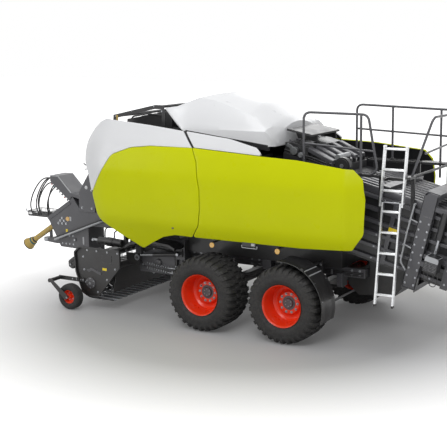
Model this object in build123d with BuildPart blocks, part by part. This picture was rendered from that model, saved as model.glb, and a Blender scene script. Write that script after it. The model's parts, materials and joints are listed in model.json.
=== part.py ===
from build123d import *
import math
import os

os.makedirs("parts", exist_ok=True)

# Large square baler, towed. Millimetres. +X is the way it travels, +Y its left side, +Z up.
# Stations along X are measured from the middle of the tandem axles. The origin lies on the
# ground at the middle of the machine's length, so every finished piece is moved by row_shift.

# Press housing
press_rear_x = -1190

# Flats that stand for a round on bars, bent tubes and wheels
bar_sides = 12
tube_sides = 6
rim_sides = 16
gauge_sides = 10
pin_sides = 8

# Wheels and tandem axles
wheelbase = 1313
tyre_d = 1076
tyre_w = 560
tyre_face_y = 1450
lug_h = 20
lug_count = 16
lug_w = 66
rim_flange_r = 298
bead_r = 286
bead_gap = 0.6
hub_r = 112
spindle_r = 32
pin_gap = 0.3
axle_tube = 130
kingpin_y = 800
kingpin_r = 28
steer_arm = 230
steer_drop = 120
tyre_r = tyre_d / 2
wheel_y = tyre_face_y - tyre_w / 2
front_axle_x = wheelbase / 2
rear_axle_x = -wheelbase / 2

# Side doors: section across, turn at the nose and at the rear end
door_wall = 34
door_side_y = 1400
door_section = (
    # height, how far it stands inside the door's widest line
    (1000, 240),
    (1335, 100),
    (1510, 20),
    (1750, 0),
    (2200, 0),
    (2410, 55),
    (2600, 120),
    (2810, 250),
    (3000, 370),
)
door_nose_x = 2250
door_nose_r = 900
door_nose_turn = 40
door_nose_reach = 220
nose_facets = 4
door_crease_x = -1560
door_rear_x = -1830
door_rear_in = 105
door_gap = 12
white_seam_gap = 38
hinge_pin_r = 12
hinge_r = 22
front_hinge_y = 1080
front_hinge_z = 2800
rear_hinge_y = 1160
rear_hinge_z = 2610
hinge_len = 70
front_hinge_stations = (1250, 2010)
rear_hinge_stations = (-160, 720)

# Bale channel, sloping down to the rear
channel_slope = 13.5
channel_front_x = -1200
channel_axis_z = 1700
channel_length = 2150
bale_w = 1200
bale_h = 900
channel_wall = 30
rib_depth = 50
rib_width = 62
rib_pitch = 164

# Pick-up
pickup_pivot_x = 2200
pickup_pivot_z = 800
pickup_half_w = 1150
reel_x = 2830
reel_z = 400
reel_tip_r = 335
reel_band_r = 250
reel_drum_r = 200
reel_pitch = 131
reel_shaft_r = 22
band_count = 17
tine_rows = 4
pickup_pin_r = 18
roller_x = 3250
roller_z = 640
roller_pin_r = 15
rotor_x = 1850
rotor_z = 740
rotor_r = 300
rotor_shaft_r = 28
gauge_d = 400
gauge_w = 150
gauge_x = 3085
gauge_y = pickup_half_w + 140
gauge_fork_y = pickup_half_w + 230
reel_half_w = pickup_half_w - 100
board_half_w = pickup_half_w - 75
roller_half_w = pickup_half_w - 110
roller_arm_y = pickup_half_w - 90
roller_arm_wall = 20

# Drawbar
drawbar_half_w = 170
plate = 16
hitch_x = 4630
hitch_z = 720
hitch_bore_r = 26
housing_half_w = 640
rail_in_y = 470
rail_out_y = 550
rail_low_z = 830
rail_top_z = 960
neck_low_z = 1060
neck_top_z = 1300
flywheel_shaft_r = 36
flywheel_z = 1740

# Drive shaft in its parking cradle, pointing down and forward
pto_x = 4460
pto_z = 985
pto_tilt = 33
pto_tube_r = 46
pto_tube_len = 560
pto_cone_len = 170
pto_guard_r = 60
pto_cone_r = 105

# Hose console and tray
hose_r = 11
gland_r = 17
hose_sides = 4
tray_z = 1142
tray_half_w = 165
hose_glands = (
    # across, front face, height
    (140, 4394, 1795),
    (60, 4394, 1795),
    (-60, 4394, 1795),
    (100, 4345, 1712),
    (-100, 4345, 1712),
    (20, 4265, 1650),
)

# Chute behind the bale channel
channel_turn = math.radians(channel_slope)
chute_hinge_u = -channel_length - 45
chute_hinge_w = -bale_h / 2 - 40
chute_pin_r = 16
chute_tilt = 20
chute_len = 1030
chute_rail_h = 70
chute_x = channel_front_x + chute_hinge_u * math.cos(channel_turn) - chute_hinge_w * math.sin(channel_turn)
chute_z = channel_axis_z + chute_hinge_u * math.sin(channel_turn) + chute_hinge_w * math.cos(channel_turn)

# The two ends of the machine, and the shift that puts the origin midway
pto_turn = math.radians(pto_tilt)
chute_turn = math.radians(chute_tilt)
front_end = pto_x + (pto_tube_len + pto_cone_len) * math.cos(pto_turn) + pto_cone_r * math.sin(pto_turn)
rear_end = chute_x - chute_len * math.cos(chute_turn) - chute_rail_h / 2 * math.sin(chute_turn)
row_shift = -(front_end + rear_end) / 2


def block(x0, x1, y0, y1, z0, z1, mode=Mode.ADD):
    """A box between two corners, in the part that is being built."""
    with Locations(((x0 + x1) / 2, (y0 + y1) / 2, (z0 + z1) / 2)):
        Box(abs(x1 - x0), abs(y1 - y0), abs(z1 - z0), mode=mode)


def rod_z(x, y, r, z0, z1, mode=Mode.ADD):
    """An upright round bar."""
    with Locations((x, y, (z0 + z1) / 2)):
        Cylinder(r, abs(z1 - z0), mode=mode)


def plate_xz(points, y0, y1, mode=Mode.ADD):
    """A plate cut to an outline seen from the side, from y0 to y1."""
    with BuildSketch(Plane.XZ.offset(-y0)) as outline:
        with BuildLine():
            Polyline(*points, close=True)
        make_face()
    extrude(outline.sketch, amount=-(y1 - y0), mode=mode)


def bar_y(x, z, r, y0, y1, sides=bar_sides, mode=Mode.ADD):
    """A bar across the machine, its round drawn with flats."""
    with BuildSketch(Plane.XZ.offset(-y0)) as ring:
        with Locations((x, z)):
            RegularPolygon(r, sides)
    extrude(ring.sketch, amount=-(y1 - y0), mode=mode)


def bar_x(y, z, r, x0, x1, sides=bar_sides, mode=Mode.ADD):
    """A bar along the machine, its round drawn with flats."""
    with BuildSketch(Plane.YZ.offset(x0)) as ring:
        with Locations((y, z)):
            RegularPolygon(r, sides)
    extrude(ring.sketch, amount=x1 - x0, mode=mode)


def bar_z(x, y, r, z0, z1, sides=bar_sides, mode=Mode.ADD):
    """An upright bar, its round drawn with flats."""
    with BuildSketch(Plane.XY.offset(z0)) as ring:
        with Locations((x, y)):
            RegularPolygon(r, sides)
    extrude(ring.sketch, amount=z1 - z0, mode=mode)


def bore_y(x, z, r, y0, y1, sides=pin_sides):
    """A hole across the machine for a pin of radius r, with a flat before each corner of the pin."""
    with BuildSketch(Plane.XZ.offset(-y0)) as ring:
        with Locations((x, z)):
            RegularPolygon(r + pin_gap, sides, major_radius=False, rotation=180 / sides)
    extrude(ring.sketch, amount=-(y1 - y0), mode=Mode.SUBTRACT)


def bore_x(y, z, r, x0, x1, sides=pin_sides):
    """The same hole along the machine."""
    with BuildSketch(Plane.YZ.offset(x0)) as ring:
        with Locations((y, z)):
            RegularPolygon(r + pin_gap, sides, major_radius=False, rotation=180 / sides)
    extrude(ring.sketch, amount=x1 - x0, mode=Mode.SUBTRACT)


def bore_z(x, y, r, z0, z1, sides=pin_sides):
    """The same hole upright."""
    with BuildSketch(Plane.XY.offset(z0)) as ring:
        with Locations((x, y)):
            RegularPolygon(r + pin_gap, sides, major_radius=False, rotation=180 / sides)
    extrude(ring.sketch, amount=z1 - z0, mode=Mode.SUBTRACT)


def turned(stations, sides, mode=Mode.ADD):
    """A body turned about Y through stations of (y, radius), its round drawn with flats."""
    for (y0, r0), (y1, r1) in zip(stations, stations[1:]):
        with BuildSketch(Plane.XZ.offset(-y0)) as near:
            RegularPolygon(r0, sides, rotation=180 / sides)
        slope = math.degrees(math.atan2((r0 - r1) * math.cos(math.pi / sides), y1 - y0))
        extrude(near.sketch, amount=-(y1 - y0), taper=slope, mode=mode)


def tube(points, r, bend, mode=Mode.ADD):
    """A bent tube through the points, each corner cut off to its bend."""
    ends = [Vector(*p) for p in points]
    route_points = [ends[0]]
    for a, b, c in zip(ends, ends[1:], ends[2:]):
        route_points.append(b - (b - a).normalized() * bend)
        route_points.append(b + (c - b).normalized() * bend)
    route_points.append(ends[-1])
    with BuildLine() as route:
        Polyline(*route_points)
    with BuildSketch(Plane(origin=route.line @ 0, z_dir=route.line % 0)) as ring:
        RegularPolygon(r, tube_sides)
    sweep(ring.sketch, path=route.line, transition=Transition.RIGHT, mode=mode)


def press_top(x):
    """Height of the press housing's top behind its front hump."""
    return 2190 + (x - press_rear_x) * 0.23


def hood_low(x):
    """Height of the hood's lower edge."""
    return 2620 + (x + 225) * 160 / 1415


def save(piece, label):
    """Names a finished piece and writes it in the machine's own frame."""
    moved = piece.part.moved(Location((row_shift, 0, 0)))
    moved.label = label
    export_step(moved, f"parts/{label}.step")


# Wheels: one tyre and one rim, set at each of the four places
half_w = tyre_w / 2
carcass_r = tyre_r - lug_h
facet_turn = 180 / lug_count
bead_in_r = (bead_r + bead_gap) / math.cos(math.radians(facet_turn / 2))
with BuildPart() as tyre:
    turned(
        (
            (-half_w, carcass_r - 120),
            (-half_w + 40, carcass_r),
            (half_w - 40, carcass_r),
            (half_w, carcass_r - 120),
        ),
        2 * lug_count,
    )
    turned(((-half_w, carcass_r - 120), (-half_w + 44, bead_in_r)), 2 * lug_count, Mode.SUBTRACT)
    turned(((-half_w + 44, bead_in_r), (half_w - 44, bead_in_r)), 2 * lug_count, Mode.SUBTRACT)
    turned(((half_w - 44, bead_in_r), (half_w, carcass_r - 120)), 2 * lug_count, Mode.SUBTRACT)
    for side in (1, -1):
        for k in range(lug_count):
            turn = math.radians((2 * k + (0 if side > 0 else 1)) * facet_turn)
            lug_plane = Plane(origin=(0, 0, 0), x_dir=(0, 1, 0), z_dir=(math.cos(turn), 0, -math.sin(turn)))
            with BuildSketch(lug_plane.offset(-lug_w / 2)) as lug:
                with BuildLine():
                    Polyline(
                        (side * 28, carcass_r - 4),
                        (side * 28, tyre_r),
                        (side * (half_w - 50), tyre_r),
                        (side * (half_w - 14), carcass_r - 60),
                        close=True,
                    )
                make_face()
            extrude(lug.sketch, amount=lug_w)

hub_out = 60
hub_in = -150
disc_y = -20
rim_out = half_w - 18
with BuildPart() as rim:
    turned(
        (
            (-rim_out, rim_flange_r),
            (-rim_out + 22, bead_r),
            (rim_out - 22, bead_r),
            (rim_out, rim_flange_r),
        ),
        rim_sides,
    )
    turned(((-rim_out, bead_r), (disc_y - 8, bead_r - 26)), rim_sides, Mode.SUBTRACT)
    turned(((disc_y + 8, bead_r - 26), (rim_out, bead_r)), rim_sides, Mode.SUBTRACT)
    turned(((disc_y, hub_r + 60), (hub_out - 20, hub_r)), rim_sides)
    turned(((hub_in, hub_r), (hub_out, hub_r)), bar_sides)
    bore_y(0, 0, spindle_r, hub_in, hub_out - 40, bar_sides)

wheel_places = (
    # name, station, side
    ("front_left", front_axle_x, 1),
    ("front_right", front_axle_x, -1),
    ("rear_left", rear_axle_x, 1),
    ("rear_right", rear_axle_x, -1),
)
for name, x, side in wheel_places:
    for kind, master in (("tyre", tyre), ("rim", rim)):
        with BuildPart() as wheel_piece:
            with Locations(Location((x, side * wheel_y, tyre_r), (0, 0, 0 if side > 0 else 180))):
                add(master.part)
        save(wheel_piece, f"{kind}_{name}")

# Gauge wheels of the pick-up
gauge_r = gauge_d / 2
gauge_axle_r = 15
gauge_rim_r = 104
gauge_side_r = 150
with BuildPart() as gauge_tyre:
    turned(
        (
            (-gauge_w / 2, gauge_side_r),
            (-55, gauge_r),
            (55, gauge_r),
            (gauge_w / 2, gauge_side_r),
        ),
        gauge_sides,
    )
    turned(((-gauge_w / 2, gauge_rim_r + bead_gap), (gauge_w / 2, gauge_rim_r + bead_gap)), gauge_sides, Mode.SUBTRACT)
with BuildPart() as gauge_rim:
    turned(((-55, gauge_rim_r), (55, gauge_rim_r)), gauge_sides)
    turned(((-55, gauge_rim_r - 12), (-8, gauge_rim_r - 20)), gauge_sides, Mode.SUBTRACT)
    turned(((8, gauge_rim_r - 20), (55, gauge_rim_r - 12)), gauge_sides, Mode.SUBTRACT)
    turned(((-60, 34), (60, 34)), pin_sides)
    bore_y(0, 0, gauge_axle_r, -60, 60)
for name, side in (("left", 1), ("right", -1)):
    for kind, master in (("gauge_tyre", gauge_tyre), ("gauge_rim", gauge_rim)):
        with BuildPart() as gauge_piece:
            with Locations((gauge_x, side * gauge_y, gauge_r)):
                add(master.part)
        save(gauge_piece, f"{kind}_{name}")

# Tandem axles: two beams, leaf springs and the rocker between them
spring_y = 600
rocker_z = 760
with BuildPart() as tandem_axles:
    half_tube = axle_tube / 2
    for x, reach in ((front_axle_x, 960), (rear_axle_x, kingpin_y - 62)):
        block(x - half_tube, x + half_tube, -reach, reach, tyre_r - half_tube, tyre_r + half_tube)
    for side in (1, -1):
        bar_y(front_axle_x, tyre_r, spindle_r, side * 950, side * (wheel_y + 10))
        bar_z(rear_axle_x, side * kingpin_y, 66, tyre_r - 75, tyre_r + 75, pin_sides)
        bore_z(rear_axle_x, side * kingpin_y, kingpin_r, tyre_r - 80, tyre_r + 80)
        for x in (front_axle_x, rear_axle_x):
            block(x - 90, x + 90, side * spring_y - 50, side * spring_y + 50, tyre_r + 55, tyre_r + 100)
            block(x - 300, x + 300, side * spring_y - 45, side * spring_y + 45, tyre_r + 100, tyre_r + 135)
            block(x - 540, x + 540, side * spring_y - 45, side * spring_y + 45, tyre_r + 135, tyre_r + 160)
        bar_y(0, rocker_z + 15, 45, side * spring_y - 60, side * spring_y + 60, pin_sides)
        block(-190, 190, side * spring_y - 40, side * spring_y + 40, tyre_r + 150, rocker_z + 20)
save(tandem_axles, "tandem_axles")

# Steering knuckles of the rear axle, each with its fender on a bracket
fender_in_r = tyre_r + 75
fender_wall = 14
fender_y0 = 1040
fender_y1 = 1440
fender_turns = [math.radians(84 + k * 16) for k in range(8)]
fender_outline = [
    (rear_axle_x + r * math.cos(a), tyre_r + r * math.sin(a))
    for r, turns in ((fender_in_r + fender_wall, fender_turns), (fender_in_r, fender_turns[::-1]))
    for a in turns
]
for name, side in (("left", 1), ("right", -1)):
    with BuildPart() as knuckle:
        for z0, z1 in ((tyre_r + 80, tyre_r + 112), (tyre_r - 112, tyre_r - 80)):
            block(rear_axle_x - 75, rear_axle_x + 75, side * (kingpin_y - 70), side * 925, z0, z1)
        block(rear_axle_x - 75, rear_axle_x + 75, side * 880, side * 925, tyre_r - 112, tyre_r + 112)
        bar_z(rear_axle_x, side * kingpin_y, kingpin_r, tyre_r - 112, tyre_r + 112, pin_sides)
        bar_y(rear_axle_x, tyre_r, spindle_r, side * 920, side * (wheel_y + 10))
        arm_z = tyre_r - steer_drop
        block(rear_axle_x - steer_arm, rear_axle_x - 60, side * (kingpin_y - 30), side * (kingpin_y + 30), arm_z - 24, arm_z + 10)
        bar_z(rear_axle_x - steer_arm, side * kingpin_y, 36, arm_z - 24, arm_z + 10, pin_sides)
        bar_z(rear_axle_x - steer_arm, side * kingpin_y, 14, arm_z - 62, arm_z, pin_sides)
        block(rear_axle_x - 340, rear_axle_x + 40, side * 840, side * 872, tyre_r + 80, tyre_r + 112)
        block(rear_axle_x - 340, rear_axle_x - 300, side * 840, side * 872, tyre_r + 80, tyre_r + 560)
        bar_y(rear_axle_x - 320, tyre_r + 545, 20, side * 850, side * fender_y1, tube_sides)
        plate_xz(fender_outline, side * fender_y0, side * fender_y1)
    save(knuckle, f"steer_knuckle_{name}")

with BuildPart() as tie_rod:
    tie_x = rear_axle_x - steer_arm
    tie_z = tyre_r - steer_drop - 45
    bar_y(tie_x, tie_z, 18, -kingpin_y + 30, kingpin_y - 30, tube_sides)
    for side in (1, -1):
        bar_z(tie_x, side * kingpin_y, 34, tie_z - 16, tie_z + 16, pin_sides)
        bore_z(tie_x, side * kingpin_y, 14, tie_z - 20, tie_z + 20)
save(tie_rod, "tie_rod")

# Frame under the press housing, with the neck box, the intake's side plates and all its brackets
with BuildPart() as main_frame:
    for side in (1, -1):
        block(-1500, 1500, side * rail_in_y, side * rail_out_y, rail_low_z, rail_top_z)
        block(1350, 1500, side * rail_in_y, side * 740, rail_low_z, 1130)
        block(1350, 2350, side * 660, side * 740, 1000, 1130)
        block(2200, 2350, side * 600, side * 740, 1000, neck_top_z)
        block(1450, 2230, side * 622, side * 660, 560, 1130)
        bore_y(rotor_x, rotor_z, rotor_shaft_r, side * 600, side * 700)
        block(2150, 2250, side * 700, side * 740, pickup_pivot_z - 50, 1010)
        bar_y(pickup_pivot_x, pickup_pivot_z, pickup_pin_r, side * 690, side * 800, pin_sides)
        for x in (front_axle_x + 500, rear_axle_x - 500):
            block(x - 40, x + 40, side * rail_in_y, side * 650, tyre_r + 160, rail_low_z + 60)
        block(-70, 70, side * 540, side * 650, rocker_z + 60, rail_top_z)
    for x in (-1450, -40, 1400):
        block(x - 45, x + 45, -rail_in_y - 10, rail_in_y + 10, rail_low_z, rail_top_z)
    block(2200, 2350, -700, 700, neck_low_z, neck_top_z)
save(main_frame, "main_frame")

# Press housing: one closed mass from the intake to the channel's mouth, and the gearbox in front
with BuildPart() as press_housing:
    plate_xz(
        (
            (press_rear_x, rail_top_z),
            (1350, rail_top_z),
            (1350, 2690),
            (1200, 2700),
            (-190, press_top(-190)),
            (press_rear_x, press_top(press_rear_x)),
        ),
        -housing_half_w,
        housing_half_w,
    )
    for x in (100, 900):
        block(x, x + 40, -905, 905, hood_low(x) - 120, hood_low(x) - 40)
    for side in (1, -1):
        plate_xz(
            (
                (-200, hood_low(-200)),
                (1150, hood_low(1150)),
                (1150, hood_low(1150) - 50),
                (-200, hood_low(-200) - 50),
            ),
            side * 905,
            side * 948,
        )
    block(1340, 2300, -330, 330, 1310, 2120)
    bar_x(0, flywheel_z, 160, 2290, 2640)
    bar_x(0, flywheel_z, flywheel_shaft_r, 2630, 2870)
    for side in (1, -1):
        for hinge_y, hinge_z, stations in (
            (front_hinge_y, front_hinge_z, front_hinge_stations),
            (rear_hinge_y, rear_hinge_z, rear_hinge_stations),
        ):
            for x in stations:
                bar_x(side * hinge_y, hinge_z, hinge_pin_r, x + 5, x + hinge_len + 20, pin_sides)
                block(x + hinge_len + 5, x + hinge_len + 20, side * 600, side * (hinge_y + 20), hinge_z - 215, hinge_z - 110)
                block(x + hinge_len + 5, x + hinge_len + 20, side * (hinge_y - 40), side * (hinge_y + 20), hinge_z - 115, hinge_z + 20)
    block(1340, 2160, -housing_half_w, housing_half_w, 2560, 2690)
save(press_housing, "press_housing")

with BuildPart() as flywheel:
    bar_x(0, flywheel_z, 400, 2700, 2830, rim_sides)
    bar_x(0, flywheel_z, 300, 2700, 2790, rim_sides, Mode.SUBTRACT)
    bar_x(0, flywheel_z, 120, 2655, 2860)
    bore_x(0, flywheel_z, flywheel_shaft_r, 2650, 2865, bar_sides)
save(flywheel, "flywheel")

# Drawbar with its neck, and what it carries
with BuildPart() as drawbar:
    plate_xz(
        (
            (4440, 1080),
            (4360, 1200),
            (3990, 1458),
            (3930, 1530),
            (3770, neck_top_z),
            (2350, neck_top_z),
            (2350, neck_low_z),
            (3620, neck_low_z),
            (3620, 650),
            (4210, 660),
        ),
        -drawbar_half_w,
        drawbar_half_w,
    )
    bar_x(0, pto_z, 75, 4300, pto_x - 30)
    tube(((3250, 160, 1180), (3250, 290, 1180), (4260, 290, 790), (4260, 160, 790)), 17, 70)
save(drawbar, "drawbar")

with BuildPart() as hitch_eye:
    plate_xz(
        (
            (4221.5, 680),
            (4287, 800),
            (4480, 770),
            (hitch_x - 40, hitch_z + 35),
            (hitch_x - 40, hitch_z - 35),
            (4400, 675),
        ),
        -60,
        60,
    )
    saddle_x = (4540, 4580)
    saddle_z = [pto_z - (x - pto_x) * math.tan(pto_turn) - pto_tube_r / math.cos(pto_turn) for x in saddle_x]
    plate_xz(
        (
            (saddle_x[0], hitch_z),
            (saddle_x[1], hitch_z),
            (saddle_x[1], saddle_z[1]),
            (saddle_x[0], saddle_z[0]),
        ),
        -20,
        20,
    )
    rod_z(hitch_x, 0, 70, hitch_z - 35, hitch_z + 35)
    rod_z(hitch_x, 0, hitch_bore_r, hitch_z - 60, hitch_z + 60, Mode.SUBTRACT)
save(hitch_eye, "hitch_eye")

with BuildPart() as hose_rack:
    for side in (1, -1):
        plate_xz(
            ((3440, neck_top_z), (3760, neck_top_z), (3760, 1610), (3510, 1985), (3440, 1985)),
            side * 190,
            side * 206,
        )
    block(3440, 3760, -206, 206, neck_top_z, neck_top_z + plate)
    plate_xz(((3905, 1560), (4195, 1850), (4366, 1850), (4366, 1750), (3990, 1458), (3930, 1530)), -190, 190)
    plate_xz(((3744, 1500), (3744, 1560), (3930, 1585), (3930, 1535)), -206, 206)
    for y, x, z in hose_glands:
        bar_x(y, z, gland_r, x - 60, x, tube_sides)
    plate_xz(((3960, 1400), (4440, 1085), (4470, 1130), (4470, 1142), (4010, 1442)), drawbar_half_w, drawbar_half_w + 10)
    block(4470, 4900, -tray_half_w, tray_half_w, tray_z - plate, tray_z)
    for side in (1, -1):
        block(4470, 4900, side * tray_half_w, side * (tray_half_w - 8), tray_z - plate, tray_z + 75)
    block(4470, 4478, -tray_half_w, tray_half_w, tray_z - plate, tray_z + 75)
    block(4892, 4900, -tray_half_w, tray_half_w, tray_z - plate, tray_z + 75)
    block(4890, 5090, -12, 12, tray_z + 5, tray_z + 29)
    block(5072, 5090, -12, 12, tray_z + 5, tray_z + 70)
save(hose_rack, "hose_rack")

# Hoses from the console's glands down into the tray
hose_routes = {
    "hose_outer": (
        hose_r,
        ((4395, 140, 1795), (4490, 141, 1801), (4600, 143, 1747), (4710, 144, 1632), (4806, 142, 1484))
        + ((4862, 138, 1330), (4856, 132, 1218), (4824, 126, 1148)),
    ),
    "hose_second": (
        hose_r,
        ((4395, 60, 1795), (4485, 61, 1794), (4585, 62, 1735), (4690, 63, 1610), (4770, 62, 1460))
        + ((4812, 60, 1318), (4800, 58, 1212), (4764, 55, 1148)),
    ),
    "hose_third": (
        hose_r,
        ((4395, -60, 1795), (4494, -60, 1806), (4608, -61, 1752), (4722, -62, 1640), (4822, -62, 1490))
        + ((4874, -60, 1336), (4862, -58, 1220), (4826, -56, 1148)),
    ),
    "hose_fourth": (
        hose_r,
        ((4346, 100, 1712), (4436, 101, 1716), (4528, 102, 1668), (4616, 103, 1568), (4686, 102, 1440))
        + ((4716, 100, 1318), (4700, 98, 1222), (4664, 95, 1148)),
    ),
    "hose_fifth": (
        hose_r,
        ((4266, 20, 1650), (4350, 20, 1656), (4438, 20, 1612), (4520, 20, 1520), (4578, 20, 1404))
        + ((4602, 20, 1298), (4594, 20, 1216), (4572, 20, 1148)),
    ),
    "hose_inner": (
        hose_r,
        ((4346, -100, 1712), (4428, -100, 1718), (4510, -101, 1674), (4592, -102, 1582), (4654, -102, 1462))
        + ((4684, -102, 1346), (4680, -101, 1238), (4656, -100, 1148)),
    ),
}
for name, (radius, points) in hose_routes.items():
    ends = [Vector(*p) for p in points]
    runs = [b - a for a, b in zip(ends, ends[1:])]
    radii = [
        0.45 * min(a.length, b.length) / math.tan(math.radians(a.get_angle(b)) / 2)
        for a, b in zip(runs, runs[1:])
    ]
    print(name, "radii", [round(v) for v in radii])
    with BuildPart() as hose:
        with BuildLine() as route:
            FilletPolyline(*ends, radius=radii)
        with BuildSketch(Plane(origin=route.line @ 0, z_dir=route.line % 0)):
            RegularPolygon(radius, hose_sides)
        sweep(path=route.line)
    route_length = route.wires()[0].length
    print(name, "volume", round(hose.part.volume), "section by length", round(hose_sides / 2 * math.sin(2 * math.pi / hose_sides) * radius**2 * route_length))
    save(hose, name)

pto_plane = Plane(
    origin=(pto_x, 0, pto_z),
    x_dir=(0, 1, 0),
    z_dir=(math.cos(pto_turn), 0, -math.sin(pto_turn)),
)
pto_guard_slope = math.degrees(math.atan2((pto_cone_r - pto_guard_r) * math.cos(math.pi / bar_sides), pto_cone_len))
with BuildPart() as pto_shaft:
    with BuildSketch(pto_plane) as shaft_end:
        RegularPolygon(pto_tube_r, bar_sides)
    extrude(shaft_end.sketch, amount=pto_tube_len + 40)
    with BuildSketch(pto_plane.offset(pto_tube_len)) as guard_end:
        RegularPolygon(pto_guard_r, bar_sides)
    extrude(guard_end.sketch, amount=pto_cone_len, taper=-pto_guard_slope)
    bar_x(0, pto_z, 26, pto_x - 30, pto_x + 30, tube_sides)
save(pto_shaft, "pto_shaft")

# Front: dark roof frame and the shield behind the doors' noses
roof_half_w = 800
roof_wall = 20
roof_outline = ((1600, 2745), (2560, 2745), (2540, 2960), (1780, 3130), (1640, 3130), (1600, 2990))
roof_window = ((1660, 2800), (2500, 2800), (2485, 2915), (1790, 3070), (1660, 3070))
with BuildPart() as front_roof:
    for side in (1, -1):
        plate_xz(roof_outline, side * (roof_half_w - roof_wall), side * roof_half_w)
        plate_xz(roof_window, side * (roof_half_w - roof_wall), side * roof_half_w, Mode.SUBTRACT)
    block(1600, 2560, -roof_half_w, roof_half_w, 2745, 2765)
    for x, z in ((2515, 2940), (1690, 3105)):
        bar_y(x, z, 22, -roof_half_w + 5, roof_half_w - 5, pin_sides)
    for k in range(5):
        y = (k - 2) * 260
        plate_xz(((1670, 2760), (2500, 2760), (2490, 2880), (1780, 3010), (1670, 3010)), y - 8, y + 8)
save(front_roof, "front_roof")

with BuildPart() as front_shield:
    plate_xz(
        (
            (2350, neck_low_z),
            (2390, neck_low_z),
            (2390, 2200),
            (2540, 2600),
            (2540, 2745),
            (2500, 2745),
            (2500, 2610),
            (2350, 2210),
        ),
        -850,
        850,
    )
    block(2300, 2640, -430, 430, neck_low_z - 10, 2150, Mode.SUBTRACT)
save(front_shield, "front_shield")

# White hood over the knotters: one outline along, one across, and the same again for its inside
hood_wall = 30


def hood_shape(inset):
    """The hood's outer shape drawn in by an inset all round, open underneath."""
    along = (
        (1190 - inset, 2780 - inset),
        (1480 - inset, 3120 - inset),
        (1120, 3280 - inset),
        (820, 3320 - inset),
        (250, 3200 - inset),
        (-200 + inset, 2930 - inset),
        (-225 + inset, 2620 - inset),
    )
    half_across = ((950 - inset, 2500), (950 - inset, 2830 - inset), (640 - inset, 3250 - inset))
    across = half_across + ((0, 3330 - inset),) + tuple((-y, z) for y, z in reversed(half_across))
    with BuildPart() as shape:
        plate_xz(along, -1000, 1000)
        with BuildSketch(Plane.YZ.offset(-400)) as end_view:
            with BuildLine():
                Polyline(*across, close=True)
            make_face()
        extrude(end_view.sketch, amount=2200, mode=Mode.INTERSECT)
    return shape.part


hood_outside = hood_shape(0)
hood_inside = hood_shape(hood_wall)
with BuildPart() as top_hood:
    add(hood_outside)
    add(hood_inside, mode=Mode.SUBTRACT)
save(top_hood, "top_hood")

# Knotters and their guard behind the hood
with BuildPart() as knotters:
    plate_xz(((-250, 2560), (-1000, 2380), (-1010, 2450), (-760, 2640), (-320, 2700)), -560, 560)
    plate_xz(((-250, press_top(-250)), (-1000, press_top(-1000)), (-1000, 2390), (-250, 2570)), -600, 600)
save(knotters, "knotters")

with BuildPart() as knotter_cover:
    with Locations(Location((-455, 60, 2800), (0, -10, 0))):
        Box(400, 900, 30)
    for y in (-300, 300):
        plate_xz(((-640, 2657), (-640, 2768), (-275, 2830), (-330, 2699)), y - 8, y + 8)
save(knotter_cover, "knotter_cover")

# Bale channel: walls with ribs, and the slats over it
channel = Location((channel_front_x, 0, channel_axis_z), (0, -channel_slope, 0))
half_bale_w = bale_w / 2
half_bale_h = bale_h / 2


def channel_block(u0, u1, y0, y1, w0, w1, mode=Mode.ADD):
    """A box in the channel's own sloping frame: u forward along it, w square to it."""
    with Locations(channel):
        with Locations(((u0 + u1) / 2, (y0 + y1) / 2, (w0 + w1) / 2)):
            Box(abs(u1 - u0), abs(y1 - y0), abs(w1 - w0), mode=mode)


with BuildPart() as channel_walls:
    wall_y = half_bale_w + channel_wall
    channel_block(-channel_length, 60, -wall_y, wall_y, -half_bale_h - channel_wall, -half_bale_h)
    for side in (1, -1):
        channel_block(-channel_length, 60, side * half_bale_w, side * wall_y, -half_bale_h, half_bale_h)
        for k in range(6):
            w = -half_bale_h + 40 + k * rib_pitch
            channel_block(-channel_length, 0, side * wall_y, side * (wall_y + rib_depth), w - rib_width / 2, w + rib_width / 2)
    block(channel_front_x + 10, channel_front_x + 500, -1000, 1000, 900, 2700, Mode.SUBTRACT)
    for side in (1, -1):
        channel_block(chute_hinge_u - 35, -channel_length + 160, side * wall_y, side * (wall_y + 20), chute_hinge_w - 35, -half_bale_h + 40)
        bar_y(chute_x, chute_z, chute_pin_r, side * 530, side * (wall_y + 20), pin_sides)
save(channel_walls, "channel_walls")

slat_h = 90
slat_count = 10
with BuildPart() as channel_slats:
    for k in range(slat_count):
        y = (k - (slat_count - 1) / 2) * (wall_y * 2 - 80) / (slat_count - 1)
        channel_block(-channel_length, 60, y - 34, y + 34, half_bale_h, half_bale_h + slat_h)
    for u in (-1900, -500):
        channel_block(u - 60, u + 60, -wall_y, wall_y, half_bale_h + slat_h - 20, half_bale_h + slat_h + 50)
    block(channel_front_x + 10, channel_front_x + 500, -1000, 1000, 900, 2900, Mode.SUBTRACT)
save(channel_slats, "channel_slats")

# Tension yoke round the channel
yoke_u = -1190
with BuildPart() as tension_yoke:
    rib_out_y = wall_y + rib_depth
    for side in (1, -1):
        channel_block(yoke_u - 95, yoke_u + 95, side * rib_out_y, side * (rib_out_y + 80), -640, 720)
        channel_block(-1700, -1600, side * rib_out_y, side * (rib_out_y + 60), -470, 640)
    channel_block(yoke_u - 95, yoke_u + 95, -rib_out_y, rib_out_y, 640, 720)
    channel_block(yoke_u - 95, yoke_u + 95, -rib_out_y, rib_out_y, -640, -560)
    channel_block(-1700, -1600, -rib_out_y, rib_out_y, 590, 640)
    for y in (-330, 330):
        channel_block(-1610, yoke_u - 90, y - 30, y + 30, 590, 660)
save(tension_yoke, "tension_yoke")

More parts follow.
